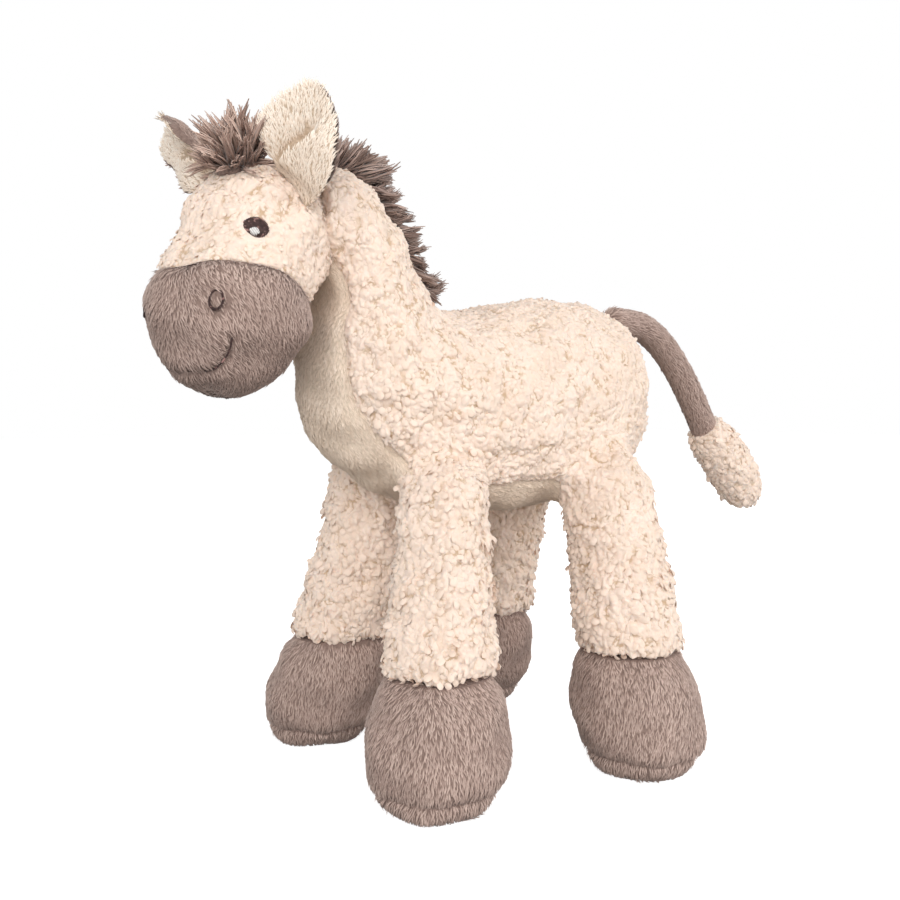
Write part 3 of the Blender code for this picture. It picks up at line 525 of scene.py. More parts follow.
def pile_tree():
    """Nodes that set tufts on a cloth: even spacing, laid along its pile, turned and sized at random."""
    floats = {label: "Float" for label in ("Spacing", "Smallest", "Largest", "Turn", "Lift", "Lean")}
    net = Tree("tufts_on_cloth", Cloth="Geometry", Tufts="Collection", Kinds="Int", Seed="Int", **floats)
    given = net.given

    def chance(low, high, salt, kind="FLOAT"):
        low_slot, high_slot, out = (2, 3, 1) if kind == "FLOAT" else (4, 5, 2)
        sockets = {low_slot: low, high_slot: high, "Seed": given["Seed"] + salt}
        return net.node("FunctionNodeRandomValue", {"data_type": kind}, sockets, out)

    def either_way(most, salt):
        return chance(-1.0 * most, most, salt)

    spots = net.node(
        "GeometryNodeDistributePointsOnFaces",
        {"distribute_method": "POISSON"},
        {
            "Mesh": given["Cloth"],
            "Distance Min": given["Spacing"],
            "Density Max": net.maths("DIVIDE", 3.0, given["Spacing"] * given["Spacing"]),
            "Density Factor": net.kept("kept"),
            "Seed": given["Seed"],
        },
        "Points",
    )
    ways = {
        "Primary Axis": Tone(net, spots.socket.node.outputs["Normal"]),
        "Secondary Axis": net.kept("way", "FLOAT_VECTOR"),
    }
    turned = net.node("FunctionNodeAxesToRotation", {"primary_axis": "Z", "secondary_axis": "X"}, ways)
    lift, turn = given["Lift"], given["Turn"]
    swing = {"X": either_way(lift, 11), "Y": either_way(lift, 12), "Z": either_way(turn, 13)}
    for angles in ({"Y": given["Lean"]}, swing):
        euler = net.node("ShaderNodeCombineXYZ", None, angles)
        by = net.node("FunctionNodeEulerToRotation", None, {"Euler": euler})
        sockets = {"Rotation": turned, "Rotate By": by}
        turned = net.node("FunctionNodeRotateRotation", {"rotation_space": "LOCAL"}, sockets)
    each = {"Collection": given["Tufts"], "Separate Children": True, "Reset Children": True}
    sockets = {
        "Points": spots,
        "Instance": net.node("GeometryNodeCollectionInfo", None, each),
        "Pick Instance": True,
        "Instance Index": chance(0, given["Kinds"] - 1, 15, "INT"),
        "Rotation": turned,
        "Scale": chance(given["Smallest"], given["Largest"], 14) * net.kept("size"),
    }
    set_down = net.node("GeometryNodeInstanceOnPoints", None, sockets)
    sockets = {"Geometry": set_down, "Name": "lot", "Value": chance(0.0, 1.0, 16)}
    settings = {"data_type": "FLOAT", "domain": "INSTANCE"}
    return net.ends_in(net.node("GeometryNodeStoreNamedAttribute", settings, sockets))


PILE_TREE = pile_tree()


def shaped_by(tree, piece, **inputs):
    """Puts a tree's modifier on a piece, with its inputs set."""
    modifier = piece.modifiers.new("nodes", "NODES")
    modifier.node_group = tree
    for item in tree.interface.items_tree:
        if item.in_out == "INPUT" and item.name in inputs:
            modifier[item.identifier] = inputs[item.name]
    return piece


def lay_pile(name, cloth, group, finish, spacing, sizes, turn, lift, seed, lean=0.0):
    """A new piece of tufts that stand all over a cloth."""
    given = {"Tufts": group, "Kinds": len(group.objects), "Finish": finish, "Spacing": spacing, "Seed": seed}
    sway = {"Smallest": sizes[0], "Largest": sizes[1], "Turn": turn, "Lift": lift, "Lean": lean}
    mesh = used_up(shaped_by(PILE_TREE, shown(name, cloth.data.copy()), **given, **sway))
    mesh.name = name
    return shown(name, mesh)


class Finish(Network):
    """One cloth's material, put together from its nodes."""

    def __init__(self, name, roughness, sheen=0.0):
        self.material = bpy.data.materials.new(name)
        self.material.use_nodes = True
        super().__init__(self.material.node_tree)
        self.inputs = self.tree.nodes["Principled BSDF"].inputs
        self.inputs["Roughness"].default_value = roughness
        self.inputs["Sheen Weight"].default_value = sheen
        self.inputs["Specular IOR Level"].default_value = 0.2

    def kept(self, key, out="Fac"):
        return self.node("ShaderNodeAttribute", {"attribute_name": key}, out=out)

    def noise(self, scale, stretch=(1, 1, 1), detail=2.0, place=None):
        place = place or self.node("ShaderNodeTexCoord", out="Object")
        drawn = self.vectors("MULTIPLY", place, stretch)
        return self.node("ShaderNodeTexNoise", None, {"Vector": drawn, "Scale": scale, "Detail": detail})

    def dress(self, colour, height=None, depth=0.0, strength=0.5):
        self.put(self.inputs["Base Color"], colour)
        if height is not None:
            bump = {"Height": height, "Distance": depth, "Strength": strength}
            self.put(self.inputs["Normal"], self.node("ShaderNodeBump", None, bump))
        return self.material


# Curly fleece: lobes of wool that lie over one another like small petals, with thin creases between
# them. The cloth is lifted into curls, and the loose tips of other curls stand on it.
LOBE_SCALE, CLUMP_SCALE, SMALL_SCALE = 290.0, 145.0, 450.0
CURL_HEIGHT, CURL_SPACING, LEG_CURL_SPACING = 0.0021, 0.0030, 0.0033
CURL_TURN, CURL_LIFT = 1.1, 0.2


def curls_at(net, place):
    """How high the curls stand at a place, from 0 in a crease to about 1 on a lobe."""

    def wander(scale):
        return net.node("ShaderNodeTexNoise", None, {"Vector": place, "Scale": scale, "Detail": 1.0}, "Color")

    def cells(where, scale, out="Distance"):
        return net.node("ShaderNodeTexVoronoi", None, {"Vector": where, "Scale": scale}, out)

    bent = net.vectors("MULTIPLY_ADD", wander(95.0), (0.012, 0.012, 0.012), place)
    bent = net.vectors("MULTIPLY_ADD", wander(330.0), (0.0034, 0.0034, 0.0034), bent)
    drawn = net.vectors("MULTIPLY", bent, (1.0, 1.0, 0.66))
    off = net.vectors("SUBTRACT", cells(drawn, LOBE_SCALE, "Position"), drawn)
    tip = net.vectors("DOT_PRODUCT", off, (0.0, 0.0, LOBE_SCALE))
    lobe = 1.0 - net.within(cells(drawn, LOBE_SCALE), 0.10, 0.78, True)
    round_clump = 1.0 - net.within(cells(drawn, CLUMP_SCALE), 0.15, 0.85, True)
    small_lobe = 1.0 - net.within(cells(bent, SMALL_SCALE), 0.12, 0.75, True)
    height = 0.66 * lobe + 0.34 * tip * lobe + 0.34 * round_clump
    return net.maths("MAXIMUM", height, 0.46 * small_lobe)


def fleece_tree():
    """Nodes that keep each point's place on a flat cloth, then lift the cloth into curls."""
    net = Tree("curls_of_fleece", Cloth="Geometry", Height="Float")
    place = net.node("GeometryNodeInputPosition")
    sockets = {"Geometry": net.given["Cloth"], "Name": "place", "Value": place}
    marked = net.node("GeometryNodeStoreNamedAttribute", {"data_type": "FLOAT_VECTOR"}, sockets)
    height = curls_at(net, place) * net.kept("size") * net.given["Height"]
    lifted = net.vectors("SCALE", net.kept("out", "FLOAT_VECTOR"), height)
    return net.ends_in(net.node("GeometryNodeSetPosition", None, {"Geometry": marked, "Offset": lifted}))


FLEECE_TREE = fleece_tree()

# The wool is darker in its creases, painted shade where the curls sink, with fine fibres all over
wool = Finish("cream_fleece", 0.95, 0.15)
place = wool.kept("place", "Vector")
height = curls_at(wool, place)
patches = wool.within(wool.noise(60.0, detail=3.0, place=place), 0.35, 0.65)
fibres = wool.noise(1500.0, (1, 1, 0.5), 3.0, place)
# Painted shade: the curls' low places take the dark crease colour, the lobes take the wool's own colours in
# patches
colour = wool.between(
    wool.within(height + 0.25 * fibres, 0.08, 0.52, True),
    (0.54, 0.38, 0.25),
    wool.between(patches, (0.80, 0.642, 0.53), (0.87, 0.715, 0.61)),
)
wool.inputs["Subsurface Weight"].default_value = 0.3
wool.inputs["Subsurface Radius"].default_value = (1.0, 0.75, 0.55)
wool.inputs["Subsurface Scale"].default_value = 0.0022
FLEECE = wool.dress(colour, height + 0.22 * fibres, 0.0009, 0.6)
wisp = Finish("cream_fleece_wisps", 0.95, 0.15)
WISPS = wisp.dress(wisp.between(wisp.kept("lot"), (0.805, 0.645, 0.53), (0.87, 0.71, 0.60)))
draw = np.random.default_rng(7)
CURLS = tufts("curls", [curl(draw) for _ in range(9)])


def curled(cloth):
    """Lifts a flat cloth into curls."""
    mesh = plain_mesh(shaped_by(FLEECE_TREE, cloth, Height=CURL_HEIGHT, Finish=FLEECE))
    cloth.modifiers.clear()
    cloth.data = mesh


def lay_curls(name, cloth, spacing, sizes, seed, lift=CURL_LIFT):
    """A new piece of loose curls all over a cloth."""
    return lay_pile(name, cloth, CURLS, WISPS, spacing, sizes, CURL_TURN, lift, seed)


def put_on(body, slot, nodes, cloth, *piles, fill=None):
    """Attaches a cloth and its pile to the body that carries them, and hides the nodes that they stand for.
    The slot that says what they are made of is not used.
    """
    for piece in (cloth, *piles):
        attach(piece, body)
    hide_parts(*nodes)


across_body = points_of(body_cloth.data)[:, 0]
curled(body_cloth)
fleeces = []
for hand, side in (("left", 1), ("right", -1)):
    keep(body_cloth.data, kept=across_body * side >= 0)
    fleeces.append(lay_curls(f"body_fleece_{hand}", body_cloth, CURL_SPACING, (0.75, 1.25), 21 + side))
body_nodes = ("body_panel_left", "body_panel_right", "body_filling")
put_on("trunk", "cream_curly_fleece", body_nodes, body_cloth, *fleeces, fill=0.85)


# The smooth panel from the throat down the chest and under the belly, ivory with a short soft pile.
# It is sewn between the two fleece sides and the tops of the legs.
SPRIG_HAIRS, TIP_HEIGHT = 3, 0.6


def sprig(draw, length, width, lay):
    """A few flat hairs from one spot: they rise a little and lie forward, each a ridge that narrows."""
    points, faces, rise = [], [], []
    for _ in range(SPRIG_HAIRS):
        start = np.array([*draw.uniform(-0.0006, 0.0006, 2), -0.0002])
        way = draw.uniform(-0.22, 0.22)
        long, tall = length * draw.uniform(0.8, 1.2), lay * draw.uniform(0.7, 1.3)
        first = len(points)
        for t, wide in ((0.0, 0.8), (0.5, 1.0)):
            middle = start + (long * t * cos(way), long * t * sin(way), tall * sin(pi / 2 * t))
            across = np.array([-sin(way), cos(way), 0]) * width / 2 * wide
            points += [middle - across, middle + (0, 0, width * 0.35), middle + across]
            rise += [t * 0.8, t, t * 0.8]
        points.append(start + (long * cos(way), long * sin(way), tall * TIP_HEIGHT))
        rise.append(1.0)
        for k in (first, first + 1):
            faces += [[k, k + 3, k + 4, k + 1], [k + 3, first + 6, k + 4]]
    return points, faces, rise


def cloth_finish(name, dark, light, grain):
    """The cloth that shows between the tufts of its pile."""
    finish = Finish(name, 0.95, 0.1)
    weave = finish.noise(grain, detail=4.0)
    return finish.dress(finish.between(finish.within(weave, 0.3, 0.7), dark, light), weave, 0.0015, 0.8)


def pile_finish(name, dark, middle, light):
    """Short pile, darker at its roots and where it faces down, both painted shade, in streaks that vary from
    hair to hair.
    """
    finish = Finish(name, 0.8, 0.2)
    mixed = 0.65 * finish.kept("lot") + 0.35 * finish.noise(45.0, detail=3.0)
    hair = finish.between(finish.within(mixed, 0.15, 0.85), middle, light)
    # Painted shade at the roots of the hairs
    root = finish.within(finish.kept("rise"), 0.0, 0.65)
    # Painted shade where the pile faces down, darker the more it faces the floor
    facing = finish.node("ShaderNodeNewGeometry", out="True Normal")
    up = finish.vectors("DOT_PRODUCT", facing, (0.0, 0.0, 1.0))
    shaded = finish.between(1.0 - finish.within(up, -0.8, 0.2), hair, dark)
    return finish.dress(finish.between(root, dark, shaded))


IVORY_PILE = pile_finish("ivory_pile", (0.64, 0.505, 0.385), (0.86, 0.71, 0.58), (0.96, 0.83, 0.71))
IVORY_CLOTH = cloth_finish("ivory_cloth", (0.62, 0.50, 0.385), (0.78, 0.655, 0.535), 500.0)
draw = np.random.default_rng(11)
SOFT_SPRIGS = tufts("soft_sprigs", [sprig(draw, 0.0036, 0.00054, 0.0007) for _ in range(6)])
belly_cloth.data.materials.append(IVORY_CLOTH)
keep(belly_cloth.data, size=1, kept=1)
belly_pile = lay_pile("belly_pile", belly_cloth, SOFT_SPRIGS, IVORY_PILE, 0.0013, (0.8, 1.2), 0.35, 0.10, 31)
put_on("trunk", "ivory_short_pile", ("belly_gusset",), belly_cloth, belly_pile, fill=0.85)

# The fleece of the four legs, sewn to the body at the top and to the hoof at the cuff.
for number, (name, cloth) in enumerate(leg_cloths.items()):
    node = f"leg_{name}"
    keep(cloth.data, kept=points_of(cloth.data)[:, 2] > HOOF_HEIGHT + 0.0008)
    curled(cloth)
    fleece = lay_curls(f"{node}_fleece", cloth, LEG_CURL_SPACING, (0.8, 1.3), 41 + number)
    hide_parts(f"{node}_sleeve", f"{node}_filling")
    for piece in (cloth, fleece):
        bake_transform(piece)

# The hooves: taupe short pile, stuffed round, with a sole of the same cloth. A seam pulls in a
# groove round each sole, and the pile lies down the hoof.
TAUPE_PILE = pile_finish("taupe_pile", (0.27, 0.188, 0.156), (0.48, 0.348, 0.297), (0.67, 0.51, 0.44))
TAUPE_CLOTH = cloth_finish("taupe_cloth", (0.20, 0.135, 0.112), (0.32, 0.226, 0.190), 600.0)
draw = np.random.default_rng(13)
SPRIGS = tufts("sprigs", [sprig(draw, 0.0036, 0.00058, 0.0007) for _ in range(6)])
PILE_ROOM, SOLE_GROOVE = 0.0010, 0.0016
LOWEST_CLOTH, LOWEST_PILE = 0.0009, 0.0002


def outward(surface, u, a):
    """The direction out of a surface at each of its places."""
    step = 1e-3

    def across_both(u, a):
        along = surface(np.minimum(u + step, 1), a) - surface(np.maximum(u - step, 0), a)
        return np.cross(along, surface(u, a + step) - surface(u, a - step))

    u, a = np.asarray(u, float), np.asarray(a, float)
    out = across_both(np.clip(u, 0.004, 0.996), a)
    out *= np.sign(across_both(np.array(0.5), np.array(0.0))[0])
    return out / np.maximum(np.linalg.norm(out, axis=-1), 1e-12)[..., None]


def face_out(piece, out):
    """Turns a piece's faces to the side that its directions say is out."""
    if (normals_of(piece.data) * out).sum() < 0:
        piece.data.flip_normals()


HOOF_AROUND = 88
for number, (name, leg) in enumerate(LEGS.items()):
    node, form = f"leg_{name}", partial(leg_surface, leg)
    for part, first, last, count in (("hoof", CUFF, SOLE_SEAM, 44), ("sole", SOLE_SEAM, 0.999, 40)):
        points, u, a = grid_of(form, np.linspace(first, last, count), HOOF_AROUND)
        out = outward(form, u, a)
        height = points[:, 2]
        seam = bump_at(height - SOLE_SEAM_HEIGHT, 0.0022) * (height > 0)
        seam += 1.1 * bump_at(height - HOOF_HEIGHT, 0.0045)
        points = points - out * (PILE_ROOM + SOLE_GROOVE * seam - stuffing_swell(points))[:, None]
        points[:, 2] = np.maximum(points[:, 2], LOWEST_CLOTH)
        way = (0.0, 0.0, -1.0) + 0.25 * np.sin(points[:, [1, 0, 2]] * (130, 110, 90))
        values = {"way": way, "size": 1, "kept": points[:, 2] < HOOF_HEIGHT - 0.0005}
        cloth = sew(f"{node}_{part}_cloth", points, grid_faces(count, HOOF_AROUND), TAUPE_CLOTH, **values)
        face_out(cloth, out)
        name_of_pile = f"{node}_{part}_pile"
        pile = lay_pile(name_of_pile, cloth, SPRIGS, TAUPE_PILE, 0.0013, (0.8, 1.2), 0.3, 0.08, 51 + number)
        low = points_of(pile.data)
        low[:, 2] = np.maximum(low[:, 2], LOWEST_PILE)
        move_to(pile.data, low)
        put_on(node, "taupe_short_pile", (f"{node}_{part}",), cloth, pile, fill=0.85)

# The head's curly cover: a round skull that turns in the neck's opening, drawn in to the muzzle's seam
SKULL, SKULL_RADIUS = np.array([0, -0.1451, 0.255]), 0.035
HEAD_TURN, FACE_SLOPE = radians(18), radians(64.5)
MUZZLE_LENGTH, MUZZLE_WIDTH, MUZZLE_DEPTH = 0.0765, 0.0735, 0.0665
FACE_AXIS = np.array([0, -cos(FACE_SLOPE), -sin(FACE_SLOPE)])
BROW_AXIS = np.array([0, -sin(FACE_SLOPE), cos(FACE_SLOPE)])
SKULL_ROWS = [(-cos(turn), 0, sin(turn), sin(turn)) for turn in np.linspace(0, pi / 2, 5)]
# Place along the face, shift to the brow, depth and width, as shares of the muzzle's size
MUZZLE_ROWS = (
    (0.19, 0.020, 0.98, 0.93),
    (0.36, 0.040, 0.98, 0.90),
    (0.52, 0.030, 1.00, 0.98),
    (0.67, 0.010, 0.95, 0.97),
    (0.82, -0.010, 0.79, 0.82),
    (0.93, -0.020, 0.53, 0.56),
    (0.985, -0.030, 0.26, 0.28),
    (1.0, -0.030, 0.0, 0.0),
)
MUZZLE_SIZE = (MUZZLE_LENGTH, MUZZLE_DEPTH, MUZZLE_DEPTH / 2, MUZZLE_WIDTH / 2)
HEAD_ROWS = np.concatenate([np.array(SKULL_ROWS) * SKULL_RADIUS, np.array(MUZZLE_ROWS) * MUZZLE_SIZE])
TURN = np.array(Matrix.Rotation(HEAD_TURN, 3, "Z"))


def head_surface(u, a):
    """Points of the head in its place, u from the poll to the chin, a around from the left cheek."""
    along, shift, depth, width = np.moveaxis(through(HEAD_ROWS, u), -1, 0)
    height = shift + np.maximum(depth, 0) * np.sin(a)
    x = np.maximum(width, 0) * np.cos(a)
    points = along[..., None] * FACE_AXIS + height[..., None] * BROW_AXIS + x[..., None] * (1, 0, 0)
    return points @ TURN.T + SKULL


def on_head(u, a):
    """One place on the head."""
    return head_surface(np.array(u), np.array(a))


def muzzle_seam(a):
    """Where the muzzle's seam runs at each angle, lower on the brow than under the jaw."""
    return 0.483 + 0.073 * np.maximum(np.sin(a), 0) ** 2


def cheek_swell(u, a):
    """How far the stuffing pushes the cheeks out, either side of the muzzle's seam."""
    return 0.0056 * bump_at(u - 0.56, 0.12) * np.cos(a) ** 2


def head_part(name, first, last, count, around, depth_at, finish=None):
    """Part of the head's skin, from one place to another at each angle, sunk as its pile needs."""
    share, a = every_pair(np.linspace(0, 1, count), full_turn(around))
    u = first(a) + (last(a) - first(a)) * share
    points, out = head_surface(u, a), outward(head_surface, u, a)
    depth = depth_at(u, a) - stuffing_swell(points) - cheek_swell(u, a)
    cloth = sew(name, points - out * depth[:, None], grid_faces(count, around), finish)
    face_out(cloth, out)
    return cloth, u, a


def both_sides(spot):
    """A place on the left of the face, and its like on the right."""
    return (("left", spot), ("right", (spot[0], pi - spot[1])))


EYE, NOSTRIL = (0.399, radians(39)), (0.647, radians(48))
BARE_ROUND_EYE, NECK_SLOPE, NECK_RIM = 0.0062, radians(35), 0.93
head_cloth, u, a = head_part("head_cloth", lambda a: 0.002, muzzle_seam, 100, 250, lambda u, a: FLEECE_ROOM)
flat = points_of(head_cloth.data)
from_eyes = nearness(flat, [on_head(*spot) for _, spot in both_sides(EYE)])
into_neck = (flat - SKULL) @ (0, cos(NECK_SLOPE), -sin(NECK_SLOPE))
flattened = 0.08 + 0.92 * soft_step(from_eyes, 0.0045, 0.0075)
keep(
    head_cloth.data,
    kept=(from_eyes > BARE_ROUND_EYE) & (into_neck < NECK_RIM * SKULL_RADIUS),
    size=0.90 * flattened * soft_step(muzzle_seam(a) - u, 0.0, 0.012),
    way=np.tile(FACE_AXIS, (len(flat), 1)),
    out=normals_of(head_cloth.data),
)
curled(head_cloth)
head_fleece = lay_curls("head_fleece", head_cloth, CURL_SPACING, (0.7, 1.15), 61)
head_nodes = ("head_cover_left", "head_cover_right", "head_filling")
put_on("head", "cream_curly_fleece", head_nodes, head_cloth, head_fleece, fill=0.9)

# The muzzle: a cap of taupe short pile sewn to the head's cover, with the pile lying away from the
# seam and round the mouth. The stitched mouth pulls a shallow line into it.
NOSTRIL_WIDTH, NOSTRIL_HEIGHT = 0.0028, 0.0040
MOUTH = ((0.728, 0.66), (0.785, 0.68), (0.840, 0.61), (0.872, 0.42), (0.886, 0.20), (0.890, 0.0))
MOUTH_COUNT, MOUTH_SHOWN = 90, 27
mouth_rows = np.array([(u, pi / 2 - share * pi / 2) for u, share in MOUTH])
mouth_rows = np.concatenate([mouth_rows, [(u, pi - a) for u, a in mouth_rows[-2::-1]]])
mouth_line = through(mouth_rows, np.linspace(0, 1, MOUTH_COUNT))
mouth_points = head_surface(*mouth_line.T)


def unit(ways):
    """Directions, each made one long."""
    return ways / np.maximum(np.linalg.norm(ways, axis=-1), 1e-9)[..., None]


def oval_frame(u, a):
    """A flat frame on the head at a place: its middle, and the ways across, along the face, and out."""
    out = outward(head_surface, u, a)
    along = on_head(u + 0.01, a) - on_head(u - 0.01, a)
    along = unit(along - out * (along @ out))
    return on_head(u, a) + out * cheek_swell(u, a), np.cross(along, out), along, out


def muzzle_depth(u, a):
    """How far the muzzle's cloth is sunk: a little all over, more at the seam and the mouth."""
    at_mouth = bump_at(nearness(head_surface(u, a), mouth_points), 0.0024)
    return PILE_ROOM + 0.0015 * bump_at(u - muzzle_seam(a), 0.016) + 0.0016 * at_mouth


muzzle_cloth, u, a = head_part(
    "muzzle_cloth", muzzle_seam, lambda a: 0.9995, 70, 110, muzzle_depth, TAUPE_CLOTH
)
flat = points_of(muzzle_cloth.data)
ahead = unit(head_surface(np.minimum(u + 0.01, 1), a) - head_surface(u, a))
round_way = unit(head_surface(u, a + 0.02) - head_surface(u, a))
swirl = -1.5 * np.cos(a) * soft_step(u, 0.50, 0.62) + 0.5 * np.sin(a * 3 + 0.6) * soft_step(u, 0.8, 0.9)
swirl += 0.25 * np.sin(flat[:, 0] * 170) + 0.25 * np.sin(flat[:, 2] * 210)
shown_mouth = np.concatenate([mouth_points[:MOUTH_SHOWN], mouth_points[-MOUTH_SHOWN:]])
kept = nearness(flat, shown_mouth) >= 0.0017
for _, spot in both_sides(NOSTRIL):
    middle, across, along, _ = oval_frame(*spot)
    off = flat - middle
    ring = np.hypot(off @ across / NOSTRIL_WIDTH, off @ along / NOSTRIL_HEIGHT)
    kept &= (np.abs(ring - 1) >= 0.30) | (np.linalg.norm(off, axis=1) >= 0.008)
keep(muzzle_cloth.data, way=ahead + round_way * swirl[:, None], size=1, kept=kept)
muzzle_pile = lay_pile(
    "muzzle_pile", muzzle_cloth, SPRIGS, TAUPE_PILE, 0.00125, (0.75, 1.15), 0.35, 0.10, 71
)
put_on("head", "taupe_short_pile", ("muzzle_cover",), muzzle_cloth, muzzle_pile, fill=0.9)


# The embroidered face: satin-stitched eyes with a white glint, a stitched ring for each nostril and
# a line of stitches for the mouth, in polyester thread.
def thread_tree():
    """Nodes that make each line of points a round thread of its own thickness."""
    net = Tree("threads", Lines="Geometry")
    ring = net.node("GeometryNodeCurvePrimitiveCircle", None, {"Resolution": 6, "Radius": 1.0})
    curve = net.node("GeometryNodeMeshToCurve", None, {"Mesh": net.given["Lines"]})
    sockets = {"Curve": curve, "Profile Curve": ring, "Scale": net.kept("thick"), "Fill Caps": True}
    return net.ends_in(net.node("GeometryNodeCurveToMesh", None, sockets))


THREAD_TREE = thread_tree()


def stitches(name, lines, thickness, finish):
    """Threads along lines of points, thinner at their ends."""
    points, edges, thick = [], [], []
    for line in lines:
        edges += [(i, i + 1) for i in range(len(points), len(points) + len(line) - 1)]
        points += list(line)
        thick += list(thickness * (1 - 0.55 * np.linspace(-1, 1, len(line)) ** 4))
    lines_only = sew(name, points, [], edges=edges, thick=thick)
    mesh = used_up(shaped_by(THREAD_TREE, lines_only, Finish=finish))
    mesh.shade_smooth()
    return shown(name, mesh)


def thread_finish(name, dark, light, glow):
    """Twisted shiny thread, with painted highlights in spots where it turns."""
    finish = Finish(name, 0.42, 0.1)
    twist = finish.noise(900.0)
    colour = finish.between(finish.within(twist, 0.35, 0.7), dark, light)
    # Painted highlights: spots of the glow colour where the thread turns
    spots = finish.within(finish.noise(520.0, detail=1.0), 0.60, 0.70)
    return finish.dress(finish.between(spots, colour, glow), twist, 0.0003, 0.5)


BROWN_THREAD = thread_finish("brown_thread", (0.030, 0.014, 0.013), (0.070, 0.036, 0.032), (0.34, 0.19, 0.17))
WHITE_THREAD = thread_finish("white_thread", (0.78, 0.76, 0.74), (0.93, 0.92, 0.90), (0.95, 0.95, 0.94))


def satin(middle, across, along, out, lift, count, dome):
    """Side by side stitches that fill an oval, domed over its padding."""
    lines = []
    for x in np.linspace(-0.96, 0.96, count):
        line = []
        for t in np.linspace(-1, 1, 7):
            rise = lift + dome * (1 - x * x) * (1 - 0.75 * t * t) - 0.0006 * t**8
            line.append(middle + across * (x + 0.042 * t) + along * np.sqrt(1 - x * x) * t + out * rise)
        lines.append(line)
    return lines


EYE_WIDTH, EYE_HEIGHT, GLINT_RADIUS = 0.0110, 0.0099, 0.0019
for (hand, eye_spot), (_, nostril_spot) in zip(both_sides(EYE), both_sides(NOSTRIL)):
    middle, across, along, out = oval_frame(*eye_spot)
    lines = satin(middle, across * EYE_WIDTH / 2, along * EYE_HEIGHT / 2, out, -0.0016, 22, 0.0006)
    eye = stitches(f"eye_{hand}_thread", lines, 0.00034, BROWN_THREAD)
    middle = middle + along * 0.0020 - across * 0.0003
    lines = satin(middle, across * GLINT_RADIUS, along * GLINT_RADIUS, out, -0.0006, 7, 0.0004)
    glint = stitches(f"eye_glint_{hand}_thread", lines, 0.00026, WHITE_THREAD)
    put_on("head", "dark_brown_thread", (f"eye_{hand}",), eye)
    put_on("head", "white_thread", (f"eye_glint_{hand}",), glint)
    middle, across, along, out = oval_frame(*nostril_spot)
    lines = []
    for turn in full_turn(34):
        line = []
        for t in np.linspace(-1, 1, 5):
            spin = turn + 0.14 * t
            ring = across * (NOSTRIL_WIDTH * cos(spin)) + along * (NOSTRIL_HEIGHT * sin(spin))
            line.append(middle + ring * (1 + 0.17 * t) - out * (0.0008 + 0.0005 * t * t))
        lines.append(line)
    nostril = stitches(f"nostril_{hand}_thread", lines, 0.00030, BROWN_THREAD)
    put_on("head", "dark_brown_thread", (f"nostril_{hand}",), nostril)
mouth_lines = []
for start in range(0, 84, 5):
    part = mouth_line[start : start + 7]
    hidden = soft_step(min(start, MOUTH_COUNT - 1 - start), MOUTH_SHOWN - 8, MOUTH_SHOWN)
    arch = 0.0006 * np.sin(np.linspace(0, pi, len(part))) - 0.0015 - 0.0014 * hidden
    arch += cheek_swell(*part.T)
    mouth_lines.append(head_surface(*part.T) + outward(head_surface, *part.T) * arch[:, None])
mouth = stitches("mouth_thread", mouth_lines, 0.00042, BROWN_THREAD)
put_on("head", "dark_brown_thread", ("mouth_stitching",), mouth)

# The ears: a leaf of ivory short pile backed with taupe, sewn at the edge and turned, with a fold at
# the root that cups each one. They are caught in the head's seams.
EAR_WIDTH, EAR_CUP, EAR_TWIST = 0.0390, 0.0055, radians(10)
FLAP_HEIGHT, CREASE_DEPTH, EAR_PUFF = 0.0060, 0.0022, 0.0021
# Height, half width, cup, stuffing and how far the middle lies to the ear's outer side
EAR_ROWS = np.array([
    (0.00, 0.46, 0.20, 0.55, -0.20),
    (0.09, 0.64, 0.60, 0.85, -0.17),
    (0.24, 0.88, 0.90, 1.00, -0.12),
    (0.42, 1.00, 0.85, 1.00, -0.07),
    (0.60, 0.93, 0.65, 1.00, -0.03),
    (0.77, 0.73, 0.40, 0.95, 0.02),
    (0.90, 0.45, 0.20, 0.80, 0.06),
    (1.00, 0.12, 0.05, 0.55, 0.10),
])
# Side, seat, length, lean out, lean forward, how far the inner edge curls in, how blunt the tip is
# and how much narrower the root is
EARS = {
    "left": (1, (0.0330, -0.1375, 0.2759), 0.0450, radians(12), radians(8), 0.0010, 0.0, 0.0),
    "right": (-1, (-0.0245, -0.1570, 0.2860), 0.0412, radians(35), radians(18), 0.0085, 0.55, 0.60),
}
ROOT_SINK, ROOT_SLOPE = 1.17 * 0.0045, 0.70
EAR_GRID = (56, 61)
draw = np.random.default_rng(17)
EAR_SPRIGS = tufts("ear_sprigs", [sprig(draw, 0.0030, 0.00046, 0.0006) for _ in range(5)])
# The ear lining's pile is a lighter copy of the belly's ivory pile: painted light on the ears
LIT_LINING_PILE = pile_finish("ear_lining_pile", (0.83, 0.685, 0.555), (0.96, 0.84, 0.72), (0.98, 0.93, 0.84))
# The lining's cloth is dark so that it shows as painted shade along the fold, where the pile is left off
CREASE_SHADE_LINING_CLOTH = cloth_finish("ear_lining_cloth", (0.50, 0.375, 0.265), (0.66, 0.52, 0.395), 500.0)
u, t = every_pair(np.linspace(0, 1, EAR_GRID[0]), np.linspace(-1, 1, EAR_GRID[1]))
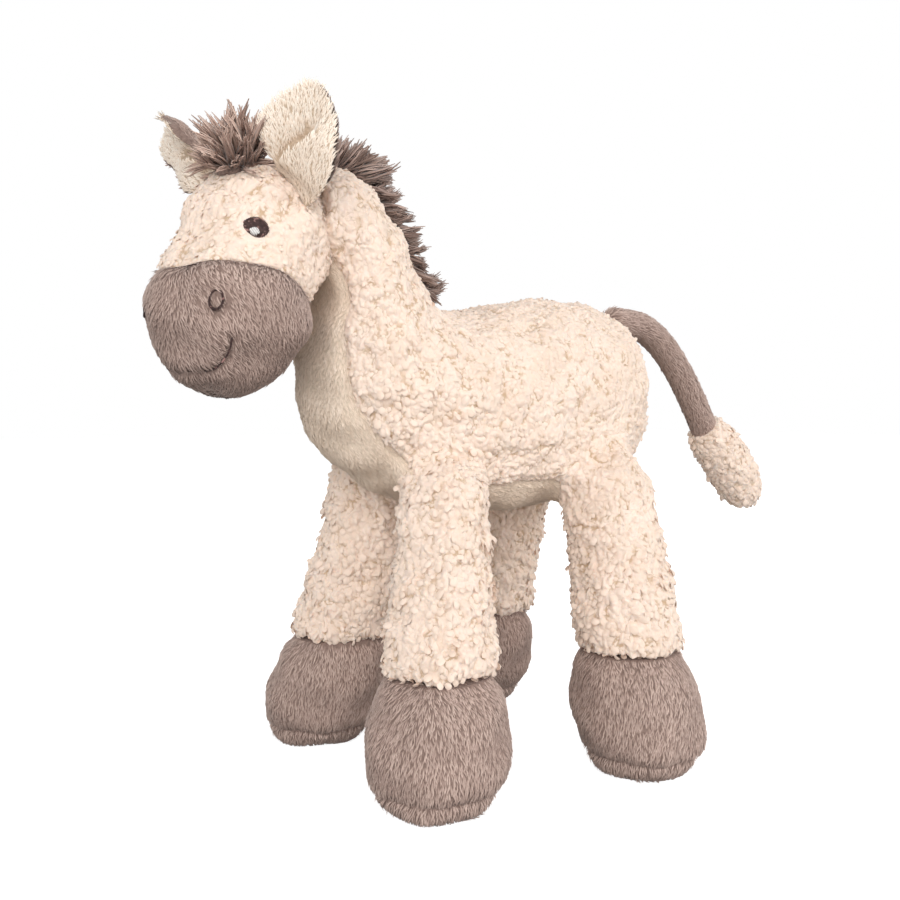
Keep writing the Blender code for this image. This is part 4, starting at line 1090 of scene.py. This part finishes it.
for hand, (side, seat, length, lean, forward, inner_curl, blunt, narrow) in EARS.items():
    turn = Matrix.Rotation(forward, 3, "X") @ Matrix.Rotation(side * lean, 3, "Y")
    turn = np.array(Matrix.Rotation(HEAD_TURN, 3, "Z") @ turn @ Matrix.Rotation(side * EAR_TWIST, 3, "Z"))
    outer = side * t
    tip = soft_step(u, 0.6, 1.0)
    past_fold = outer - (-1.0 + 2.3 * u)
    flap = soft_step(past_fold, -0.05, 0.16) * np.exp(-np.maximum(past_fold, 0) / 1.2) * FLAP_HEIGHT
    flap -= CREASE_DEPTH * bump_at(np.minimum(past_fold, 0), 0.28) * (past_fold < 0)
    fold = flap * (1 - soft_step(u, 0.42, 0.72)) * soft_step(u, 0.02, 0.22)
    curl_in = inner_curl * np.maximum(-outer, 0) ** 2.5 * soft_step(u, 0.15, 0.5)
    curl_in *= 1 - 0.5 * soft_step(u, 0.80, 1.0)
    for layer, front, finish, pile_of, slot in (
        ("lining", 1, CREASE_SHADE_LINING_CLOTH, LIT_LINING_PILE, "ivory_short_pile"),
        ("back", -1, TAUPE_CLOTH, TAUPE_PILE, "taupe_short_pile"),
    ):
        height, half, cup, thick, shift = through(EAR_ROWS, u).T
        half = half * (1 - narrow * (1 - soft_step(u, 0.0, 0.72))) + blunt * tip
        shift = shift + 0.45 * blunt * tip
        if front < 0:
            half = half * (1 + 0.11 * soft_step(outer, 0.4, 0.9) * soft_step(u, 0.25, 0.45))
        x = (t * half + side * shift) * EAR_WIDTH / 2
        puff = thick * EAR_PUFF * (1 - t**6) * np.sin(pi * np.clip(u * 0.96 + 0.04, 0, 1)) ** 0.35
        y = -cup * EAR_CUP * t**2 - fold - curl_in - front * (0.0002 + puff)
        x = x + side * curl_in * 0.5
        z = height * length - ROOT_SINK - side * x * ROOT_SLOPE * (1 - u)
        off = np.stack([x, y, z], -1) @ turn.T + seat - SKULL
        seated = 1 - soft_step(u, 0.0, 0.12)
        off *= (1 + seated * ((SKULL_RADIUS - 0.001) / np.linalg.norm(off, axis=1) - 1))[:, None]
        if front > 0:
            # The lining is left bare along its fold, so its dark cloth shows there as painted shade in the
            # crease
            kept = ~((np.abs(past_fold + 0.03) < 0.17) & (u > 0.05) & (u < 0.58))
        else:
            kept = (np.abs(t) < 0.86) & (u < 0.93) | (outer > 0.45) & (u > 0.40) & (u < 0.95)
        faces = grid_faces(*EAR_GRID, tube=False)
        faces = faces if front > 0 else [face[::-1] for face in faces]
        way = np.stack([t * 0.5, 0 * t, 1 + 0 * t], -1) @ turn.T
        values = {"way": way, "size": 1.15 if front > 0 else 0.9, "kept": kept}
        name = f"ear_{hand}_{layer}"
        cloth = sew(f"{name}_cloth", SKULL + off, faces, finish, **values)
        pile = lay_pile(
            f"{name}_pile", cloth, EAR_SPRIGS, pile_of, 0.0010, (0.8, 1.2), 0.45, 0.12, 81 + side
        )
        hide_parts(name)
        for piece in (cloth, pile):
            start, end = (tuple(np.array(seat) + turn @ (0, 0, up)) for up in (-0.004, 0.012))
            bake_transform(piece)


# The mane and the forelock: strips of shaggy taupe long pile, caught in the crest seam and gathered
# on the brow, brushed up into spiky locks.
def flat_hair(path, thick):
    """A flat tube of three sides along a path."""
    ahead = unit(np.gradient(path, axis=0))
    side = np.cross(ahead, (0, 0, 1.0))
    side /= np.maximum(np.linalg.norm(side, axis=1), 1e-6)[:, None]
    up = np.cross(side, ahead) * 0.6
    turns = full_turn(3)[:, None]
    return path[:, None] + (side[:, None] * np.cos(turns) + up[:, None] * np.sin(turns)) * thick[:, None, None]


def lock(draw, length, spread, count, fat):
    """A lock of long flat hairs that start together, curve over and spread a little at their tips."""
    points, faces, rise = [], [], []
    bend = draw.uniform(-0.32, 0.32, 2)
    t = np.linspace(0, 1, 5)[:, None]
    for _ in range(count):
        root = np.append(draw.normal(0, spread * 0.8, 2), -0.0008)
        long = length * draw.uniform(0.72, 1.04)
        tip = np.append(draw.normal(0, spread * 0.8, 2) + bend * long, long)
        droop = np.append(bend * long * 0.35 + draw.normal(0, 0.0005, 2), 0)
        path = root * (1 - t) + tip * t - droop * np.sin(pi * t)
        faces += grid_faces(5, 3, len(points))
        points += list(flat_hair(path, fat * np.array([0.8, 1.0, 1.0, 0.86, 0.30])).reshape(-1, 3))
        rise += list(np.repeat(t, 3))
    return points, faces, rise


MANE_PILE = pile_finish("taupe_mane_pile", (0.15, 0.094, 0.076), (0.34, 0.235, 0.193), (0.57, 0.42, 0.36))
FORELOCK_PILE = pile_finish(
    "taupe_forelock_pile", (0.22, 0.137, 0.108), (0.58, 0.405, 0.33), (0.88, 0.67, 0.56)
)
draw = np.random.default_rng(19)
LOCKS = tufts("locks", [lock(draw, 0.0160, 0.0012, 9, 0.00072) for _ in range(8)])
LOCK_SPACING, LOCK_LIFT = 0.0015, 0.38
MANE_GRID, MANE_HALF_WIDTH = (62, 9), 0.0042
u, across = every_pair(np.linspace(0.622, 0.955, MANE_GRID[0]), np.linspace(-1, 1, MANE_GRID[1]))
crest = np.full(len(u), pi / 2)
out = outward(trunk_surface, u, crest)
strip = trunk_surface(u, crest) + out * (0.0008 - 0.0012 * across**2)[:, None]
strip[:, 0] += across * MANE_HALF_WIDTH
way = trunk_surface(u - 0.01, crest) - trunk_surface(u, crest)
ends = np.minimum(soft_step(u, 0.595, 0.64), 1 - soft_step(u, 0.915, 0.945))
size = 0.52 + 0.32 * ends + 0.50 * soft_step(u, 0.84, 0.93)
faces = grid_faces(*MANE_GRID, tube=False)
mane_cloth = sew("mane_cloth", strip, faces, TAUPE_CLOTH, way=way, size=size, kept=1)
face_out(mane_cloth, out)
mane_hair = lay_pile(
    "mane_hair", mane_cloth, LOCKS, MANE_PILE, LOCK_SPACING, (0.75, 1.15), pi, LOCK_LIFT, 91, lean=0.55
)
put_on("trunk", "taupe_long_pile", ("neck_mane",), mane_cloth, mane_hair)

FORELOCK_GRID = (10, 30)
brushed = Matrix.Rotation(radians(27), 3, "X") @ Matrix.Rotation(radians(9), 3, "Y")
tilt = TURN @ np.array(brushed)
reach, turn = every_pair(np.linspace(0.02, 1, FORELOCK_GRID[0]), full_turn(FORELOCK_GRID[1]))
rise = SKULL_RADIUS - 0.0036 + 0.0076 * np.sqrt(1 - 0.98 * reach**2)
dome = np.stack([0.0088 * reach * np.cos(turn), 0.0122 * reach * np.sin(turn), rise], -1)
forelock_cloth = sew("forelock_cloth", dome @ tilt.T + SKULL, grid_faces(*FORELOCK_GRID), TAUPE_CLOTH)
face_out(forelock_cloth, tilt[:, 2])
upright = normals_of(forelock_cloth.data) @ tilt[:, 2]
way = np.tile((1.0, 0, 0), (len(upright), 1))
keep(forelock_cloth.data, way=way, size=0.72 + 0.42 * soft_step(upright, 0.3, 1.0), kept=upright > 0.05)
forelock_hair = lay_pile(
    "forelock_hair", forelock_cloth, LOCKS, FORELOCK_PILE, LOCK_SPACING, (0.8, 1.2), pi, LOCK_LIFT, 95
)
put_on("head", "taupe_long_pile", ("forelock",), forelock_cloth, forelock_hair)

# The neck's wadding: firm fibre in the neck's opening that the head rests and turns on, all inside
FIBRE = cloth_finish("white_fibre_wad", (0.74, 0.74, 0.72), (0.88, 0.88, 0.86), 900.0)
WAD_GRID, WAD_RIM = (24, 40), radians(23)
WAD_INNER, WAD_OUTER = SKULL_RADIUS + 0.0010, SKULL_RADIUS + 0.0034
leans = np.linspace(0.02, WAD_RIM, WAD_GRID[0] // 2)
lean, a = every_pair(np.append(leans, leans[::-1]), full_turn(WAD_GRID[1]))
radius = np.repeat([WAD_OUTER, WAD_INNER], len(a) // 2)
bowl = np.stack([np.sin(lean) * np.cos(a), np.cos(lean), np.sin(lean) * np.sin(a)], -1) * radius[:, None]
tipped = np.array(Matrix.Rotation(radians(12), 3, "X"))
wad = sew("neck_wad", bowl @ tipped.T + SKULL, grid_faces(*WAD_GRID), FIBRE)
put_on("neck", "white_fibre", ("neck_wadding",), wad, fill=0.9)

# The tail: a thin stuffed tube of taupe short pile with a fleece end, like a pompon, sewn over its tip
TAIL_PLACE, TAIL_RADIUS = np.array([0, 0.07345, 0.2278]), 0.0082
TAIL_REACH, TAIL_DROP = 0.0760, 0.0620
TUFT_RADIUS, TUFT_REACH, TUFT_DROP = 0.0150, 0.0349, 0.0385
# How far back and how far down each line goes, from its start to its end
TAIL_LINE = np.array([(0.0, 0.0), (0.28, 0.035), (0.54, 0.235), (0.79, 0.60), (1.0, 1.0)])
TUFT_LINE = np.array([(0.0, 0.0), (0.22, 0.20), (0.50, 0.45), (0.80, 0.76), (1.0, 1.0)])
TUFT_GIRTH = np.array([[0.72], [0.95], [1.0], [1.0], [0.88]])


def tail_part(name, line, girth, around, round_start, finish=None):
    """A tube along a line of points, rounded at its end, and at its start where asked."""
    u = np.linspace(0, 1, 60)
    path = through(line, u)
    ahead = through(line, np.minimum(u + 0.01, 1)) - through(line, np.maximum(u - 0.01, 0))
    ahead /= np.linalg.norm(ahead, axis=1)[:, None]
    radius = through(girth, u)[:, 0]
    cap = np.linspace(0.02, pi / 2, 9)[:-1]
    rings = list(zip(path, ahead, radius))
    if round_start:
        start, way, size = rings[0]
        rings = [(start - way * size * cos(t), way, size * sin(t)) for t in cap] + rings
    end, way, size = rings[-1]
    rings += [(end + way * size * cos(t), way, size * sin(t)) for t in cap[::-1]]
    turns = full_turn(around)[:, None]
    spokes = np.array([
        size * (np.cos(turns) * (1, 0, 0) + np.sin(turns) * np.cross((1, 0, 0), way)) for _, way, size in rings
    ])
    middles, ways, _ = zip(*rings)
    points = np.array(middles)[:, None] + spokes
    way = np.repeat(ways, around, axis=0)
    cloth = sew(f"{name}_cloth", points, grid_faces(len(rings), around), finish, way=way, size=1, kept=1)
    face_out(cloth, (points - points.mean(1)[:, None]).reshape(-1, 3))
    return cloth


tail_line = np.array([(0, back * TAIL_REACH, -down * TAIL_DROP) for back, down in TAIL_LINE]) + TAIL_PLACE
girth = np.full((5, 1), TAIL_RADIUS - PILE_ROOM + 0.0004)
tail_cloth = tail_part("tail", tail_line, girth, 40, True, TAUPE_CLOTH)
tail_pile = lay_pile("tail_pile", tail_cloth, SPRIGS, TAUPE_PILE, 0.0013, (1.0, 1.5), 0.35, 0.09, 101)
tail_nodes = ("tail_tube", "tail_tube_filling")
put_on("tail", "taupe_short_pile", tail_nodes, tail_cloth, tail_pile, fill=0.8)

tuft_line = np.array([(0, back * TUFT_REACH, -down * TUFT_DROP) for back, down in TUFT_LINE]) + tail_line[-1]
tuft_cloth = tail_part("tail_end", tuft_line, TUFT_GIRTH * TUFT_RADIUS - FLEECE_ROOM * 0.8, 110, False)
keep(tuft_cloth.data, out=normals_of(tuft_cloth.data))
curled(tuft_cloth)
tuft_fleece = lay_curls("tail_end_fleece", tuft_cloth, 0.0028, (1.0, 1.7), 111, lift=0.25)
tuft_nodes = ("tail_tuft", "tail_tuft_filling")
put_on("tail_end", "cream_curly_fleece", tuft_nodes, tuft_cloth, tuft_fleece, fill=0.8)

for group in (CURLS, SOFT_SPRIGS, SPRIGS, EAR_SPRIGS, LOCKS):
    for tuft in list(group.objects):
        bpy.data.objects.remove(tuft)
    bpy.data.collections.remove(group)

# The studio: a white floor that keeps the toy's soft shadow, a white surround that lights it evenly,
# and four soft lamps
SURROUND_LIGHT, FLOOR_REACH, LAMPS_AIM = 0.345, 6.0, Vector((0, 0, 0.15))
world = bpy.data.worlds.new("white_surround")
bpy.context.scene.world = world
world.use_nodes = True
sky = Network(world.node_tree)
rays = [sky.node("ShaderNodeLightPath", out=f"Is {kind} Ray") for kind in ("Camera", "Glossy", "Transmission")]
seen = sky.maths("MAXIMUM", sky.maths("MAXIMUM", rays[0], rays[1]), rays[2])
glow = world.node_tree.nodes["Background"].inputs
sky.put(glow["Strength"], SURROUND_LIGHT + (1.0 - SURROUND_LIGHT) * seen)
sky.put(glow["Color"], (1, 1, 1))

white = Finish("white_floor", 0.9)
ray = white.node("ShaderNodeLightPath", out="Is Camera Ray")
white.put(white.inputs["Base Color"], (0.55, 0.55, 0.55))
white.put(white.inputs["Emission Color"], white.between(ray, (0, 0, 0), (0.85, 0.85, 0.85)))
white.inputs["Emission Strength"].default_value = 1.0
x, y = every_pair((-FLOOR_REACH, FLOOR_REACH), (-FLOOR_REACH, FLOOR_REACH))
floor = sew("floor", np.stack([x, y, 0 * x], -1), [[0, 2, 3, 1]], white.material)
floor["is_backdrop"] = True

for name, place, size, power in (
    ("key", (1.3, -1.0, 0.80), 1.2, 21),
    ("fill", (1.4, 0.9, 0.7), 1.4, 15.5),
    ("front", (0.0, -1.6, 0.30), 1.2, 5),
    ("back", (-1.4, 0.8, 0.7), 1.6, 14),
):
    lamp = bpy.data.lights.new(name, "AREA")
    lamp.size, lamp.energy = size, power
    holder = shown(name, lamp)
    holder.location = place
    holder.rotation_euler = (LAMPS_AIM - Vector(place)).to_track_quat("-Z", "Y").to_euler()

camera = shown("camera", bpy.data.cameras.new("camera"))
camera.location = (0.42627, -0.32388, 0.177)
camera.rotation_euler = Vector((-0.83225, 0.55295, -0.04013)).to_track_quat("-Z", "Y").to_euler()
camera.data.lens, camera.data.sensor_width, camera.data.clip_start = 39.6, 36, 0.01
bpy.context.scene.camera = camera
bpy.context.scene.view_settings.view_transform = "Standard"

low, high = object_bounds()
